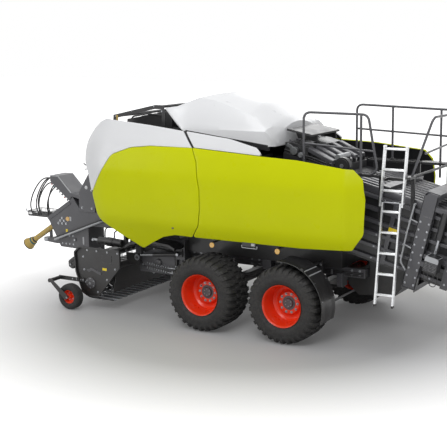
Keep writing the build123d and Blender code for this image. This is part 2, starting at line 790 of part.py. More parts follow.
# Twine box shelves behind the side doors
shelf_out_y = 1000
reflector_r = 40
reflector_h = 12
reflector_rib_w = -half_bale_h + 40 + 2 * rib_pitch
reflector_places = (
    # station, across, height
    (540, 1250, 1240),
    (-530, 1290, 1262),
)
with BuildPart() as twine_racks:
    for side in (1, -1):
        for z in (1345, 1700, 2055):
            block(-1100, 1150, side * housing_half_w, side * shelf_out_y, z, z + 18)
        for x in (-1100, -350, 400, 1132):
            block(x, x + 18, side * housing_half_w, side * shelf_out_y, 1345, 2290)
        for x, y, z in reflector_places:
            block(x - 20, x + 20, side * (shelf_out_y - 20), side * shelf_out_y, z + 28, 1350)
            block(x - 20, x + 20, side * (shelf_out_y - 20), side * y, z + 28, z + 40)
            block(x - 20, x + 20, side * (y - 8), side * y, z - 40, z + 40)
save(twine_racks, "twine_racks")

# Amber reflectors: on the rack's arms, on the drawbar's sides and on the channel's ribs
with BuildPart() as reflectors:
    for side in (1, -1):
        for x, y, z in reflector_places:
            bar_y(x, z, reflector_r, side * y, side * (y + reflector_h), pin_sides)
        bar_y(4040, 1140, reflector_r, side * drawbar_half_w, side * (drawbar_half_w + reflector_h), pin_sides)
        channel_block(
            -channel_length + 60,
            -channel_length + 160,
            side * (wall_y + rib_depth),
            side * (wall_y + rib_depth + reflector_h),
            reflector_rib_w - rib_width / 2,
            reflector_rib_w + rib_width / 2,
        )
save(reflectors, "reflectors")

# Needle guard: a closed trough under the channel
guard_top_z = rail_low_z - pin_gap
guard_outline = (
    (-1190, guard_top_z),
    (-1190, 700),
    (-1350, 560),
    (-1900, 600),
    (-2120, 880),
    (-2060, 990),
    (-1510, 1100),
    (-1510, guard_top_z),
)
with BuildPart() as needle_guard:
    plate_xz(guard_outline, -430, 430)
    channel_block(-channel_length, 200, -700, 700, -half_bale_h - channel_wall, 600, Mode.SUBTRACT)
save(needle_guard, "needle_guard")

# Rear control box on its arm
with BuildPart() as control_box:
    with Locations(Location((-2610, 905, 1230), (0, -channel_slope, 0))):
        Box(190, 190, 210)
    channel_block(yoke_u - 330, yoke_u - 95 - pin_gap, rib_out_y + 20, 815, -240, -180)
save(control_box, "control_box")

# Handrails round the working platform
rail_r = 17
with BuildPart() as platform_rails:
    tube(((-700, 850, 2330), (-700, 850, 3120), (-1650, 850, 3120), (-1790, 850, 2330)), rail_r, 70)
    tube(((-720, -850, 2330), (-720, -850, 3120), (-2500, -850, 3080), (-2520, 750, 3110), (-2240, 750, 2330)), rail_r, 70)
    bar_z(-1550, 850, rail_r, 2330, 3120, tube_sides)
    bar_z(-1300, -850, rail_r, 2330, 3110, tube_sides)
    bar_z(-2050, -850, rail_r, 2100, 3090, tube_sides)
    for side in (1, -1):
        block(-1820, -680, side * 645, side * 880, 2300, 2334)
        for x, z in ((-720, 2090), (-1780, 1700)):
            block(x - 25, x + 25, side * 680, side * 712, z, 2310)
        block(-745, -695, side * housing_half_w, side * 690, 2090, 2150)
        block(-2260, -2210, side * 680, side * 712, 1750, 2334)
        block(-2270, -2210, side * 680, side * 880, 2300, 2334)
    block(-2270, -1810, -880, -690, 2300, 2334)
    bar_y(-2235, 2317, rail_r, -700, 700, tube_sides)
save(platform_rails, "platform_rails")

# Boarding ladder: a fixed top and a lower section that folds up
ladder_x0 = -2200
ladder_x1 = -1865
ladder_pitch = 270
ladder_top_rung = 2680
ladder_pin_z = 1990
ladder_pin_r = 10


def ladder_y(z):
    """The ladder leans out towards its foot."""
    return 800 + (2720 - z) * 0.168


def ladder_rail(x, z0, z1, grow):
    """One stile of the ladder between two heights."""
    with BuildSketch(Plane.YZ.offset(x)) as stile:
        with BuildLine():
            Polyline(
                (ladder_y(z0) - grow, z0),
                (ladder_y(z0) + grow, z0),
                (ladder_y(z1) + grow, z1),
                (ladder_y(z1) - grow, z1),
                close=True,
            )
        make_face()
    extrude(stile.sketch, amount=24)


with BuildPart() as ladder_upper:
    for x in (ladder_x0, ladder_x1 - 24):
        ladder_rail(x, 1940, 2720, 30)
    for k in range(3):
        z = ladder_top_rung - k * ladder_pitch
        block(ladder_x0, ladder_x1, ladder_y(z) - 35, ladder_y(z) + 35, z - 14, z + 14)
    block(-2210, -1805, 680, 712, 2250, 2290)
    for x in (ladder_x0, ladder_x1 - 24):
        block(x, x + 24, 700, ladder_y(2270), 2250, 2290)
    bar_x(ladder_y(ladder_pin_z), ladder_pin_z, ladder_pin_r, ladder_x0 - 10, ladder_x1 + 10, pin_sides)
save(ladder_upper, "ladder_upper")

with BuildPart() as ladder_lower:
    for x in (ladder_x0 + 30, ladder_x1 - 54):
        ladder_rail(x, 640, ladder_pin_z + 24, 24)
    bore_x(ladder_y(ladder_pin_z), ladder_pin_z, ladder_pin_r, ladder_x0, ladder_x1)
    for k in range(3, 8):
        z = ladder_top_rung - k * ladder_pitch
        block(ladder_x0 + 30, ladder_x1 - 30, ladder_y(z) - 30, ladder_y(z) + 30, z - 14, z + 14)
save(ladder_lower, "ladder_lower")

# Side doors: one bent skin, cut to each door and colour
wall_out = [(door_side_y - d, z) for z, d in door_section]
wall_in = [(y - door_wall, z) for y, z in reversed(wall_out)]
section = wall_out + wall_in


def door_inside_y(z):
    """How far out the door's inner face stands at a height, on its straight stretch."""
    for (z0, d0), (z1, d1) in zip(door_section, door_section[1:]):
        if z0 <= z <= z1:
            return door_side_y - door_wall - d0 - (d1 - d0) * (z - z0) / (z1 - z0)
    return door_side_y - door_wall


rear_run = Vector(door_crease_x - door_rear_x, door_rear_in)
skin_route = [Vector(door_crease_x, door_side_y) - rear_run * 1.25, Vector(door_crease_x, door_side_y)]
for k in range(nose_facets + 1):
    turn = math.radians(door_nose_turn * k / nose_facets)
    skin_route.append(Vector(door_nose_x + door_nose_r * math.sin(turn), door_side_y - door_nose_r * (1 - math.cos(turn))))
skin_route.append(skin_route[-1] + Vector(math.cos(turn), -math.sin(turn)) * door_nose_reach)
with BuildPart() as door_skin:
    with BuildLine() as skin_plan:
        Polyline(*skin_route)
    with BuildSketch(Plane(origin=skin_route[0], x_dir=(-rear_run.Y, rear_run.X, 0), z_dir=rear_run)) as skin_end:
        with BuildLine():
            Polyline(*[(y - door_side_y, z) for y, z in section], close=True)
        make_face()
    sweep(skin_end.sketch, path=skin_plan.line, transition=Transition.RIGHT)

seam = (
    (829, 1335),
    (684, 1521),
    (644, 1750),
    (644, 2034),
    (722, 2413),
    (825, 2596),
    (1041, 2811),
    (1120, 3020),
)
seam_front = tuple((x + door_gap / 2, z) for x, z in seam)
seam_rear = tuple((x - door_gap / 2, z) for x, z in reversed(seam))
band_front = ((831, 2596), (1536, 2594), (1878, 2556), (2193, 2442), (2557, 1860), (2620, 1700))
front_white_outline = band_front + ((3100, 1900), (3100, 2300), (2884, 2407), (2877, 2581), (2486, 2929), (1648, 2867), (1047, 2811))
front_lime_outline = (
    seam_front[:6]
    + band_front[1:5]
    + ((2514, 1746), (2447, 1480), (2125, 1271), (1762, 1065), (1586, 1164), (1354, 1284), (1130, 1338))
)
rear_lime_outline = (
    ((823, 1335),)
    + tuple(reversed(seam_rear))[1:6]
    + ((-303, 2548), (-850, 2520), (-1510, 2452), (-1650, 2445), (-1780, 2320), (-1822, 2060), (-1800, 1600), (-1640, 1380), (-890, 1340))
)
rear_white_outline = (
    (831 - white_seam_gap, 2596),
    (1047 - white_seam_gap, 2811),
    (259, 2740),
    (-200, 2646),
    (-303, 2548),
)
door_parts = (
    # name, outline
    ("front_white", front_white_outline),
    ("front_lime", front_lime_outline),
    ("rear_white", rear_white_outline),
    ("rear_lime", rear_lime_outline),
)
hinge_places = {
    "front_white": (front_hinge_y, front_hinge_z, front_hinge_stations),
    "rear_white": (rear_hinge_y, rear_hinge_z, rear_hinge_stations),
}
for name, outline in door_parts:
    for side_name, side in (("left", 1), ("right", -1)):
        with BuildPart() as door:
            add(door_skin.part)
            plate_xz(outline, 800, 1500, Mode.INTERSECT)
            if name in hinge_places:
                hinge_y, hinge_z, stations = hinge_places[name]
                for x in stations:
                    block(x + 10, x + 60, hinge_y, door_inside_y(hinge_z) + 5, hinge_z - 18, hinge_z + 10)
                    block(x, x + hinge_len, hinge_y - hinge_r, hinge_y + hinge_r, hinge_z - hinge_r, hinge_z + hinge_r)
                    bore_x(hinge_y, hinge_z, hinge_pin_r, x - 5, x + hinge_len + 5)
            if side < 0:
                mirror(about=Plane.XZ, mode=Mode.REPLACE)
        save(door, f"door_{name}_{side_name}")

# Pick-up: frame with side boxes, bands, reel and crop roller
with BuildPart() as pickup_frame:
    bar_y(2380, 700, 50, -pickup_half_w, pickup_half_w, pin_sides)
    block(2385, 2420, -board_half_w, board_half_w, 440, 700)
    for side in (1, -1):
        plate_xz(
            ((2250, 700), (2250, 960), (2950, 960), (3020, 860), (2980, 240), (2900, 200), (2680, 200)),
            side * pickup_half_w,
            side * (pickup_half_w - 40),
        )
        block(2150, 2400, side * 750, side * 780, 680, 860)
        bore_y(pickup_pivot_x, pickup_pivot_z, pickup_pin_r, side * 740, side * 790)
        block(2950, 3440, side * (pickup_half_w - 30), side * (pickup_half_w - 10), 400, 460)
        bar_y(3410, 430, 30, side * (pickup_half_w - 30), side * (gauge_fork_y + 20), pin_sides)
        plate_xz(((3440, 460), (3380, 470), (3060, 225), (3085, 170), (3130, 170)), side * gauge_fork_y, side * (gauge_fork_y + 20))
        bar_y(gauge_x, gauge_r, gauge_axle_r, side * (gauge_y - 75), side * (gauge_fork_y + 20), pin_sides)
        roller_arm_outline = ((2900, 860), (2960, 930), (3300, 690), (3290, 590), (3220, 590))
        plate_xz(roller_arm_outline, side * roller_arm_y, side * (roller_arm_y + roller_arm_wall))
        bore_y(roller_x, roller_z, roller_pin_r, side * (roller_arm_y - 10), side * (roller_arm_y + 30))
        block(2900, 2960, side * roller_arm_y, side * (pickup_half_w - 30), 860, 930)
        bore_y(reel_x, reel_z, reel_shaft_r, side * (pickup_half_w - 50), side * (pickup_half_w + 10))
save(pickup_frame, "pickup_frame")

with BuildPart() as pickup_reel:
    bar_y(reel_x, reel_z, reel_drum_r, -reel_half_w, reel_half_w, 2 * tine_rows)
    bar_y(reel_x, reel_z, reel_shaft_r, -pickup_half_w, pickup_half_w, pin_sides)
    for row in range(tine_rows):
        with Locations(Location((reel_x, 0, reel_z), (0, (row + 0.25) * 360 / tine_rows, 0))):
            with GridLocations(1, reel_pitch, 1, band_count - 1):
                with Locations((0, 0, reel_drum_r - 30)):
                    Box(10, 8, reel_tip_r - reel_drum_r + 30, align=(Align.CENTER, Align.CENTER, Align.MIN))
save(pickup_reel, "pickup_reel")

band_w = 84
band_turns = [math.radians(100 - k * 47.5) for k in range(5)]
band_outline = [
    (reel_x + r * math.cos(a), reel_z + r * math.sin(a))
    for r, turns in ((reel_band_r, band_turns), (reel_band_r - 12, band_turns[::-1]))
    for a in turns
]
band_outline = [(2420, reel_z + reel_band_r - 4)] + band_outline[:5] + [
    (2420, reel_z - reel_band_r + 1),
    (2420, reel_z - reel_band_r + 13),
] + band_outline[5:] + [(2420, reel_z + reel_band_r - 16)]
with BuildPart() as pickup_bands:
    for k in range(band_count):
        y = (k - (band_count - 1) / 2) * reel_pitch
        plate_xz(band_outline, y - band_w / 2, y + band_w / 2)
    block(2420, 2440, -board_half_w, board_half_w, reel_z - reel_band_r + 1, reel_z + reel_band_r - 4)
save(pickup_bands, "pickup_bands")

with BuildPart() as crop_roller:
    bar_y(roller_x, roller_z, 80, -roller_half_w, roller_half_w, 10)
    bar_y(roller_x, roller_z, roller_pin_r, -roller_half_w - 45, roller_half_w + 45, pin_sides)
save(crop_roller, "crop_roller")

# Intake rotor
with BuildPart() as rotor:
    bar_y(rotor_x, rotor_z, 130, -590, 590, 9)
    bar_y(rotor_x, rotor_z, rotor_shaft_r, -655, 655, pin_sides)
    for k in range(9):
        y = (k - 4) * 140
        with Locations(Location((rotor_x, y, rotor_z), (0, k * 20, 0))):
            with Locations(Location((0, 0, 0), (90, 0, 0))):
                with PolarLocations(0, 3):
                    Box(rotor_r, 90, 20, align=(Align.MIN, Align.CENTER, Align.CENTER))
save(rotor, "rotor")

# Chute behind the channel
chute_plane = Plane(
    origin=(chute_x, 0, chute_z),
    x_dir=(math.cos(chute_turn), 0, math.sin(chute_turn)),
    z_dir=(0, -1, 0),
)
with BuildPart() as chute:
    with Locations(Location((chute_x, 0, chute_z), (0, -chute_tilt, 0))):
        for side in (1, -1):
            with Locations((-chute_len, side * 560, 0)):
                Box(chute_len + 20, 40, chute_rail_h, align=(Align.MIN, Align.CENTER, Align.CENTER))
        for k in range(6):
            with BuildSketch(chute_plane) as roller:
                with Locations((-130 - k * 165, 20)):
                    RegularPolygon(32, 8)
            extrude(roller.sketch, amount=560, both=True)
    bore_y(chute_x, chute_z, chute_pin_r, -650, 650)
save(chute, "chute")

# Parking jack beside the drawbar
jack_x = 3720
jack_y = -260
with BuildPart() as jack_tube:
    with BuildSketch(Plane.XY.offset(420)):
        with Locations((jack_x, jack_y)):
            Rectangle(90, 90)
            Rectangle(72.6, 72.6, mode=Mode.SUBTRACT)
    extrude(amount=620)
    block(jack_x - 45, jack_x + 45, jack_y + 45, -drawbar_half_w, 700, 1000)
save(jack_tube, "jack_tube")

with BuildPart() as jack_leg:
    block(jack_x - 36, jack_x + 36, jack_y - 36, jack_y + 36, 10, 900)
    block(jack_x - 130, jack_x + 130, jack_y - 100, jack_y + 100, 0, 16)
save(jack_leg, "jack_leg")
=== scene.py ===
import json
import math

import bmesh
import bpy
from mathutils import Matrix, Vector


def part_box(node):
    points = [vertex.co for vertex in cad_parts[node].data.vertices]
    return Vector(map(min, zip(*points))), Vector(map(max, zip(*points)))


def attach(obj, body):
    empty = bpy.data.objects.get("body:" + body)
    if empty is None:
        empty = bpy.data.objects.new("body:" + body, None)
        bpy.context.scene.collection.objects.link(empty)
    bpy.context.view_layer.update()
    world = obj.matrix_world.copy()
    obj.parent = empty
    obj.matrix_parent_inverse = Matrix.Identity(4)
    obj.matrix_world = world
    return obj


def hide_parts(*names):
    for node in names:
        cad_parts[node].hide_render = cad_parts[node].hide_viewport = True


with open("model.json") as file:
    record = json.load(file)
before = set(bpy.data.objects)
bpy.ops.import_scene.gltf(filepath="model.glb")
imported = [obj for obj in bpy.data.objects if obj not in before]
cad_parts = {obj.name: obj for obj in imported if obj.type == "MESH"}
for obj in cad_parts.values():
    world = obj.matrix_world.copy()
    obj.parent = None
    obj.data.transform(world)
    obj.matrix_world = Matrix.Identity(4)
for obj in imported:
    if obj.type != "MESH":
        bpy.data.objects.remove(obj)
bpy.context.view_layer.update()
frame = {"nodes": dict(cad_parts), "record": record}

# Stations are measured in metres from the middle of the tandem axles, as in the solids' source.
WHEELBASE = 1.313
lo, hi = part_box("tyre_front_left")
SX = (lo[0] + hi[0]) / 2 - WHEELBASE / 2
TURN = 2 * math.pi


def add_object(name, data):
    obj = bpy.data.objects.new(name, data)
    bpy.context.collection.objects.link(obj)
    return obj


# Camera ------------------------------------------------------------------------------------
PHOTO = 447  # pixels across and down
FOCAL, MIDDLE_X = 1023.622, 300  # pixels
YAW, PITCH_DOWN = math.radians(27.523), math.radians(10.654)


def make_camera():
    """The photograph's own view: long lens, the machine right of the middle."""
    level = math.cos(PITCH_DOWN)
    away = Vector((-math.sin(YAW) * level, math.cos(YAW) * level, math.sin(PITCH_DOWN)))
    data = bpy.data.cameras.new("camera")
    data.sensor_width = 36
    data.lens = FOCAL / PHOTO * data.sensor_width
    data.shift_x = (PHOTO / 2 - MIDDLE_X) / PHOTO
    data.clip_end = 200
    camera = add_object("camera", data)
    camera.location = (-7.059 + SX, 13.162, 4.195)
    camera.rotation_euler = (-away).to_track_quat("-Z", "Y").to_euler()
    bpy.context.scene.camera = camera


# Node materials ----------------------------------------------------------------------------
class Nodes:
    """Adds nodes to one tree. A value that is a socket is linked, any other is set."""

    def __init__(self, owner, main="Principled BSDF"):
        self.owner = owner
        owner.use_nodes = True
        self.tree = owner.node_tree
        self.main = self.tree.nodes[main]

    def put(self, node, values):
        for name, value in values.items():
            if isinstance(name, str) and hasattr(node, name):
                setattr(node, name, value)
                continue
            socket = node.inputs[name.replace("_", " ") if isinstance(name, str) else name]
            if hasattr(value, "links"):
                self.tree.links.new(value, socket)
            else:
                socket.default_value = value

    def add(self, kind, out, *first, **values):
        """The output of a new node, its first inputs given in their order and others by name."""
        node = self.tree.nodes.new("ShaderNode" + kind)
        self.put(node, values)
        self.put(node, dict(enumerate(first)))
        return node.outputs[out]

    def shade(self, **values):
        self.put(self.main, values)

    def coord(self):
        return self.add("TexCoord", "Object")

    def noise(self, scale, detail=4, rough=0.55, stretch=None):
        """Noise in the object's own space, as a value."""
        source = self.where
        if stretch:
            source = self.add("Mapping", "Vector", Vector=source, Scale=stretch)
        return self.add("TexNoise", "Fac", Vector=source, Scale=scale, Detail=detail, Roughness=rough)

    def spread(self, value, low, high, at=(0.3, 0.7)):
        """A value mapped to a range."""
        return self.add("MapRange", "Result", value, *at, low, high)

    def mix(self, factor, a, b):
        """Two colours mixed by a factor; each is a colour or a socket."""
        a, b = (c if hasattr(c, "links") else (*c, 1) for c in (a, b))
        node = self.tree.nodes.new("ShaderNodeMix")
        node.data_type = "RGBA"
        self.put(node, {0: factor, 6: a, 7: b})
        return node.outputs[2]

    def maths(self, operation, a, b):
        return self.add("Math", 0, a, b, operation=operation)

    def height(self):
        """Height above the ground, as a value in metres."""
        return self.add("SeparateXYZ", "Z", self.where)

    def edges(self):
        """Where the surface turns over an edge, from 0 to 1."""
        soft = self.add("Bevel", "Normal", samples=4, Radius=0.007)
        plain = self.add("NewGeometry", "Normal")
        dot = self.add("VectorMath", "Value", soft, plain, operation="DOT_PRODUCT")
        return self.spread(dot, 0, 1, (0.97, 0.82))

    def bump(self, value, strength, distance):
        self.shade(Normal=self.add("Bump", "Normal", Strength=strength, Distance=distance, Height=value))


def material(name):
    n = Nodes(bpy.data.materials.new(name))
    n.where = n.coord()
    return n


def srgb(r, g, b):
    """A colour given as 0 to 255 in the usual display scale."""
    return tuple(((v / 255 + 0.055) / 1.055) ** 2.4 if v > 10 else v / 255 / 12.92 for v in (r, g, b))


def scaled(colour, share):
    return tuple(min(1, c * share) for c in colour)


DUST, RUBBER_DUST = (0.21, 0.17, 0.12), (0.16, 0.145, 0.12)


def paint(name, colour, rough=0.3, coat=0.4, dust=0.0, wear=None, mottle=0.08, grain=0.04, shine=0.5):
    """A coat of paint: slight unevenness, a fine skin, dust low down and wear along edges."""
    n = material(name)
    tint = n.mix(n.spread(n.noise(1.7, 5), 0, 1), scaled(colour, 1 - mottle), scaled(colour, 1 + mottle))
    if dust:
        low = n.spread(n.height(), dust, 0, (0.0, 1.3))
        patch = n.spread(n.noise(9, 8, 0.65), 0.2, 1)
        tint = n.mix(n.maths("MULTIPLY", low, patch), tint, DUST)
    if wear:
        worn = n.maths("MULTIPLY", n.edges(), n.spread(n.noise(38, 6), 0, 1, (0.42, 0.6)))
        tint = n.mix(worn, tint, wear)
    n.shade(
        Base_Color=tint, Roughness=n.spread(n.noise(5.5, 6), rough * 0.85, rough * 1.25),
        Coat_Weight=coat, Coat_Roughness=0.12, Specular_IOR_Level=shine,
    )
    n.bump(n.noise(260, 3), grain, 0.002)
    return n.owner


def metal(name, colour, rough=0.38, grain=(1, 1, 1), scratch=0.12):
    """Bare metal: brushed or rolled grain, spots of dullness."""
    n = material(name)
    tone = n.spread(n.noise(14, 7, 0.6, grain), 0, 1)
    dull = n.spread(n.noise(60, 6, 0.6, grain), rough * 0.7, rough * 1.4)
    n.shade(Base_Color=n.mix(tone, scaled(colour, 0.72), colour), Metallic=1, Roughness=dull)
    n.bump(n.noise(180, 4, 0.6, grain), scratch, 0.001)
    return n.owner


def rubber(name, colour, rough=0.72, grain=0.25, dust=0.25):
    """Moulded rubber, greyed where dust settles in it."""
    n = material(name)
    tint = n.mix(n.spread(n.noise(6, 7, 0.65), 0, 1), scaled(colour, 0.75), scaled(colour, 1.5))
    low = n.maths("MULTIPLY", n.spread(n.noise(23, 8, 0.7), 0, dust), n.spread(n.height(), 1, 0.35, (0.0, 1.0)))
    n.shade(
        Base_Color=n.mix(low, tint, RUBBER_DUST),
        Roughness=n.spread(n.noise(40, 5), rough * 0.85, min(1, rough * 1.15)),
    )
    n.bump(n.noise(420, 3), grain, 0.001)
    return n.owner


def lens(name, colour):
    """A moulded lens: ribbed inside, glossy outside."""
    n = material(name)
    ribs = n.add("TexWave", "Fac", Vector=n.where, Scale=60)
    n.shade(Base_Color=n.mix(ribs, scaled(colour, 0.6), colour), Roughness=0.12, Coat_Weight=1)
    n.bump(ribs, 0.3, 0.002)
    return n.owner


M = {
    "lime": paint("lime_paint", srgb(200, 207, 0), 0.3, 0.05, 0.02, None, 0.02, 0.015, 0.12),
    "white": paint("white_paint", srgb(222, 223, 225), 0.32, 0.2, 0.02, None, 0.012, 0.015, 0.3),
    "red": paint("rim_paint", srgb(234, 58, 20), 0.3, 0.25, 0.03, None, 0.05, 0.03, 0.35),
    "grey": paint("frame_paint", srgb(74, 74, 78), 0.42, 0.22, 0.1, (0.3, 0.3, 0.31), 0.08, 0.08),
    "black": paint("black_paint", srgb(29, 29, 31), 0.45, 0.2, 0.1, (0.16, 0.16, 0.16), 0.12, 0.08),
    "light": paint("light_grey_paint", srgb(176, 178, 181), 0.4, 0.25, 0.1, None, 0.06, 0.05),
    "steel": metal("worn_steel", (0.34, 0.35, 0.36), 0.4),
    "zinc": metal("zinc_plate", (0.42, 0.43, 0.45), 0.42, (1, 1, 1), 0.2),
    "alu": metal("ladder_aluminium", (0.80, 0.81, 0.82), 0.35, (1, 1, 6), 0.1),
    "tyre": rubber("tyre_rubber", (0.013, 0.013, 0.014), 0.78, 0.3, 0.14),
    "hose": rubber("hose_rubber", (0.016, 0.016, 0.017), 0.5, 0.15, 0.08),
    "seal": rubber("seal_rubber", (0.012, 0.012, 0.012), 0.6, 0.1, 0.05),
    "yellow": paint("guard_plastic", srgb(196, 168, 92), 0.55, 0.1, 0.1, None, 0.08, 0.06),
    "plate": paint("bare_plate", srgb(246, 216, 22), 0.4, 0.3, 0.03, None, 0.04),
    "teal": paint("cap_plastic", srgb(28, 92, 98), 0.4, 0.3, 0.03, None, 0.05),
    "redcap": paint("red_cap", srgb(190, 30, 24), 0.35, 0.4, 0.02, None, 0.05),
    "amber": lens("amber_lens", (0.92, 0.50, 0.06)),
}
SLOT_OF = {
    "lime": "lime_panel", "white": "white_panel", "red": "red_rim", "grey": "frame_grey", "black": "black_paint",
    "steel": "bare_steel", "alu": "ladder_metal", "tyre": "tyre_rubber", "hose": "hose_rubber",
    "yellow": "guard_yellow", "amber": "amber_lens",
}
FINISH_OF = {slot: key for key, slot in SLOT_OF.items()}
SLOT_OF.update(light="frame_grey", seal="tyre_rubber", plate="guard_yellow")

# Mesh code ---------------------------------------------------------------------------------
BOX = ((0, 1, 3, 2), (4, 6, 7, 5), (0, 4, 5, 1), (2, 3, 7, 6), (0, 2, 6, 4), (1, 5, 7, 3))


def steps(start, step, count):
    """Values at even steps."""
    return [start + k * step for k in range(count)]


def around(count, radius, shift=0.0):
    """Evenly spaced points on a circle."""
    turns = [TURN * (k + shift) / count for k in range(count)]
    return [(radius * math.cos(turn), radius * math.sin(turn)) for turn in turns]


def points(row, size):
    """Points out of one flat row of numbers, so many numbers each; a list of points stays as it is."""
    if hasattr(row[0], "__len__"):
        return list(row)
    return [tuple(row[i : i + size]) for i in range(0, len(row), size)]


class Form:
    """Collects faces of one piece. What names no finish gets the first one."""

    def __init__(self, *keys, place=None):
        self.keys, self.place, self.side = keys, place, 1
        self.verts, self.faces, self.mats = [], [], []

    def sides(self):
        """The left side, then the right: y runs outwards to that side meanwhile."""
        for self.side in (1, -1):
            yield self.side
        self.side = 1

    def at(self, x, y, z):
        """A point of the machine, from one on the side and in the directions that the form is in."""
        point = Vector((x, self.side * y, z))
        return self.place(point) if self.place else point

    def put(self, verts, faces, key=None):
        base = len(self.verts)
        self.verts += [tuple(v) for v in verts]
        self.faces += [tuple(base + i for i in face) for face in faces]
        self.mats += [self.keys.index(key) if key else 0] * len(faces)

    def box(self, x0, x1, y0, y1, z0, z1, key=None):
        """A block between two corners."""
        ys = sorted((y0, y1), reverse=self.side < 0)
        self.put([self.at(x, y, z) for x in (x0, x1) for y in ys for z in (z0, z1)], BOX, key)

    def join(self, rows, key=None, loop=True, ring=False, ends=True):
        """Faces between rows of points: loop closes each row, ring joins last to first, ends caps both."""
        count, wide = len(rows), len(rows[0])
        faces = []
        for i in range(count if ring else count - 1):
            a, b = i * wide, (i + 1) % count * wide
            faces += [
                (a + k, a + (k + 1) % wide, b + (k + 1) % wide, b + k) for k in range(wide if loop else wide - 1)
            ]
        if ends and not ring:
            faces += [tuple(range(wide))[::-1], tuple(range((count - 1) * wide, count * wide))]
        self.put([v for row in rows for v in row], faces, key)

    def loft(self, rows, key=None, **how):
        self.join([[self.at(*p) for p in row] for row in rows], key, **how)

    def prism(self, outline, a0, a1, key=None, axis="y"):
        """An outline of two coordinates pushed along an axis."""
        order = {"y": lambda u, v, a: (u, a, v), "x": lambda u, v, a: (a, u, v), "z": lambda u, v, a: (u, v, a)}
        self.loft([[order[axis](*p, a) for p in points(outline, 2)] for a in (a0, a1)], key)

    def ring(self, profile, n, key=None):
        """A closed profile of (across, radius) turned about the Y axis."""
        profile = points(profile, 2)
        self.join([[(r * c, y, r * s) for y, r in profile] for c, s in around(n, 1)], key, ring=True)

    def lathe(self, profile, p0, p1, n=32, key=None):
        """A profile of (share of the way, radius) turned about the line between two points."""
        self.revolve(profile, self.at(*p0), self.at(*p1), n, key)

    def hub(self, x, z, y0, y1, profile, n=32, key=None):
        """The same across the machine."""
        self.lathe(profile, (x, y0, z), (x, y1, z), n, key)

    def rod(self, p0, p1, r, n=16, key=None):
        """A round bar between two points."""
        self.lathe((0, 0, 0, r, 1, r, 1, 0), p0, p1, n, key)

    def axle(self, x, z, y0, y1, r, n=16, key=None):
        """A round bar across the machine."""
        self.rod((x, y0, z), (x, y1, z), r, n, key)

    def revolve(self, profile, p0, p1, n, key):
        axis = p1 - p0
        side = axis.orthogonal().normalized()
        across = axis.normalized().cross(side)
        verts, faces, rings = [], [], []
        for share, radius in points(profile, 2):
            middle = p0 + axis * share
            rings.append([len(verts)] * n if radius < 1e-6 else range(len(verts), len(verts) + n))
            verts += [middle] if radius < 1e-6 else [middle + side * c + across * s for c, s in around(n, radius)]
        for a, b in zip(rings, rings[1:]):
            for k in range(n):
                m = (k + 1) % n
                face = list(dict.fromkeys((a[k], a[m], b[m], b[k])))
                if len(face) > 2:
                    faces.append(face)
        self.put(verts, faces, key)

    def pipe(self, route, r, n=12, key=None, bend=None, fine=6, closed=False):
        """A round tube along points, its corners rounded to a bend."""
        path = [self.at(*p) for p in points(route, 3)]
        if bend:
            path = rounded(path, [bend] * len(path), fine, closed, 0.49, 89.5)
        count = len(path)
        rows, normal = [], None
        for i, point in enumerate(path):
            before = path[(i - 1) % count] if closed or i else path[0]
            after = path[(i + 1) % count] if closed or i < count - 1 else path[-1]
            tangent = (after - before).normalized()
            normal = normal or tangent.orthogonal().normalized()
            normal = (normal - tangent * normal.dot(tangent)).normalized()
            across = tangent.cross(normal)
            rows.append([point + normal * c + across * s for c, s in around(n, r)])
        self.join(rows, key, ring=closed)

    def bolt(self, at, r, h, way=(0, 1, 0), key="zinc"):
        """A hexagon head on a washer."""
        at, way = self.at(*at), (self.at(*way) - self.at(0, 0, 0)).normalized()
        bar = (0, 0, 0, 1, 1, 1, 1, 0)
        for start, end, radius, n in ((-0.002, 0.003, r * 1.5, 16), (0, h + 0.003, r, 6)):
            profile = [(share, radius * size) for share, size in points(bar, 2)]
            self.revolve(profile, at + way * start, at + way * end, n, key)

    def make(
        self, name, node=None, bevel=0.0, angle=35, body="chassis", mesh=None, place=None, segments=2, thick=0.0
    ):
        """The finished piece, riding on its body in place of a node."""
        mesh = mesh or self.mesh(name, angle)
        obj = add_object(name, mesh)
        obj.matrix_world = place or Matrix.Translation((SX, 0, 0))
        if thick:
            shell = obj.modifiers.new("thick", "SOLIDIFY")
            shell.thickness = thick
            shell.offset = -1
            shell.material_offset = len(mesh.materials) - 1
            shell.material_offset_rim = 0
        if bevel:
            add_bevel(obj, bevel, segments, angle)
        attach(obj, body)
        if node:
            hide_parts(node)

    def mesh(self, name, angle=35):
        """The faces as a mesh, smooth but for edges where faces meet at more than an angle."""
        mesh = bpy.data.meshes.new(name)
        mesh.from_pydata(self.verts, [], self.faces)
        mesh.polygons.foreach_set("material_index", self.mats)
        for key in self.keys:
            mesh.materials.append(M[key])
        work = bmesh.new()
        work.from_mesh(mesh)
        bmesh.ops.remove_doubles(work, verts=work.verts, dist=0.00002)
        bmesh.ops.recalc_face_normals(work, faces=work.faces)
        for face in work.faces:
            face.smooth = True
        for edge in work.edges:
            edge.smooth = edge.calc_face_angle(math.pi) < math.radians(angle)
        work.to_mesh(mesh)
        work.free()
        return mesh


def add_bevel(obj, width, segments=2, angle=35):
    soft = obj.modifiers.new("edges", "BEVEL")
    soft.width = width
    soft.segments = segments
    soft.limit_method = "ANGLE"
    soft.angle_limit = math.radians(angle)
    soft.use_clamp_overlap = True


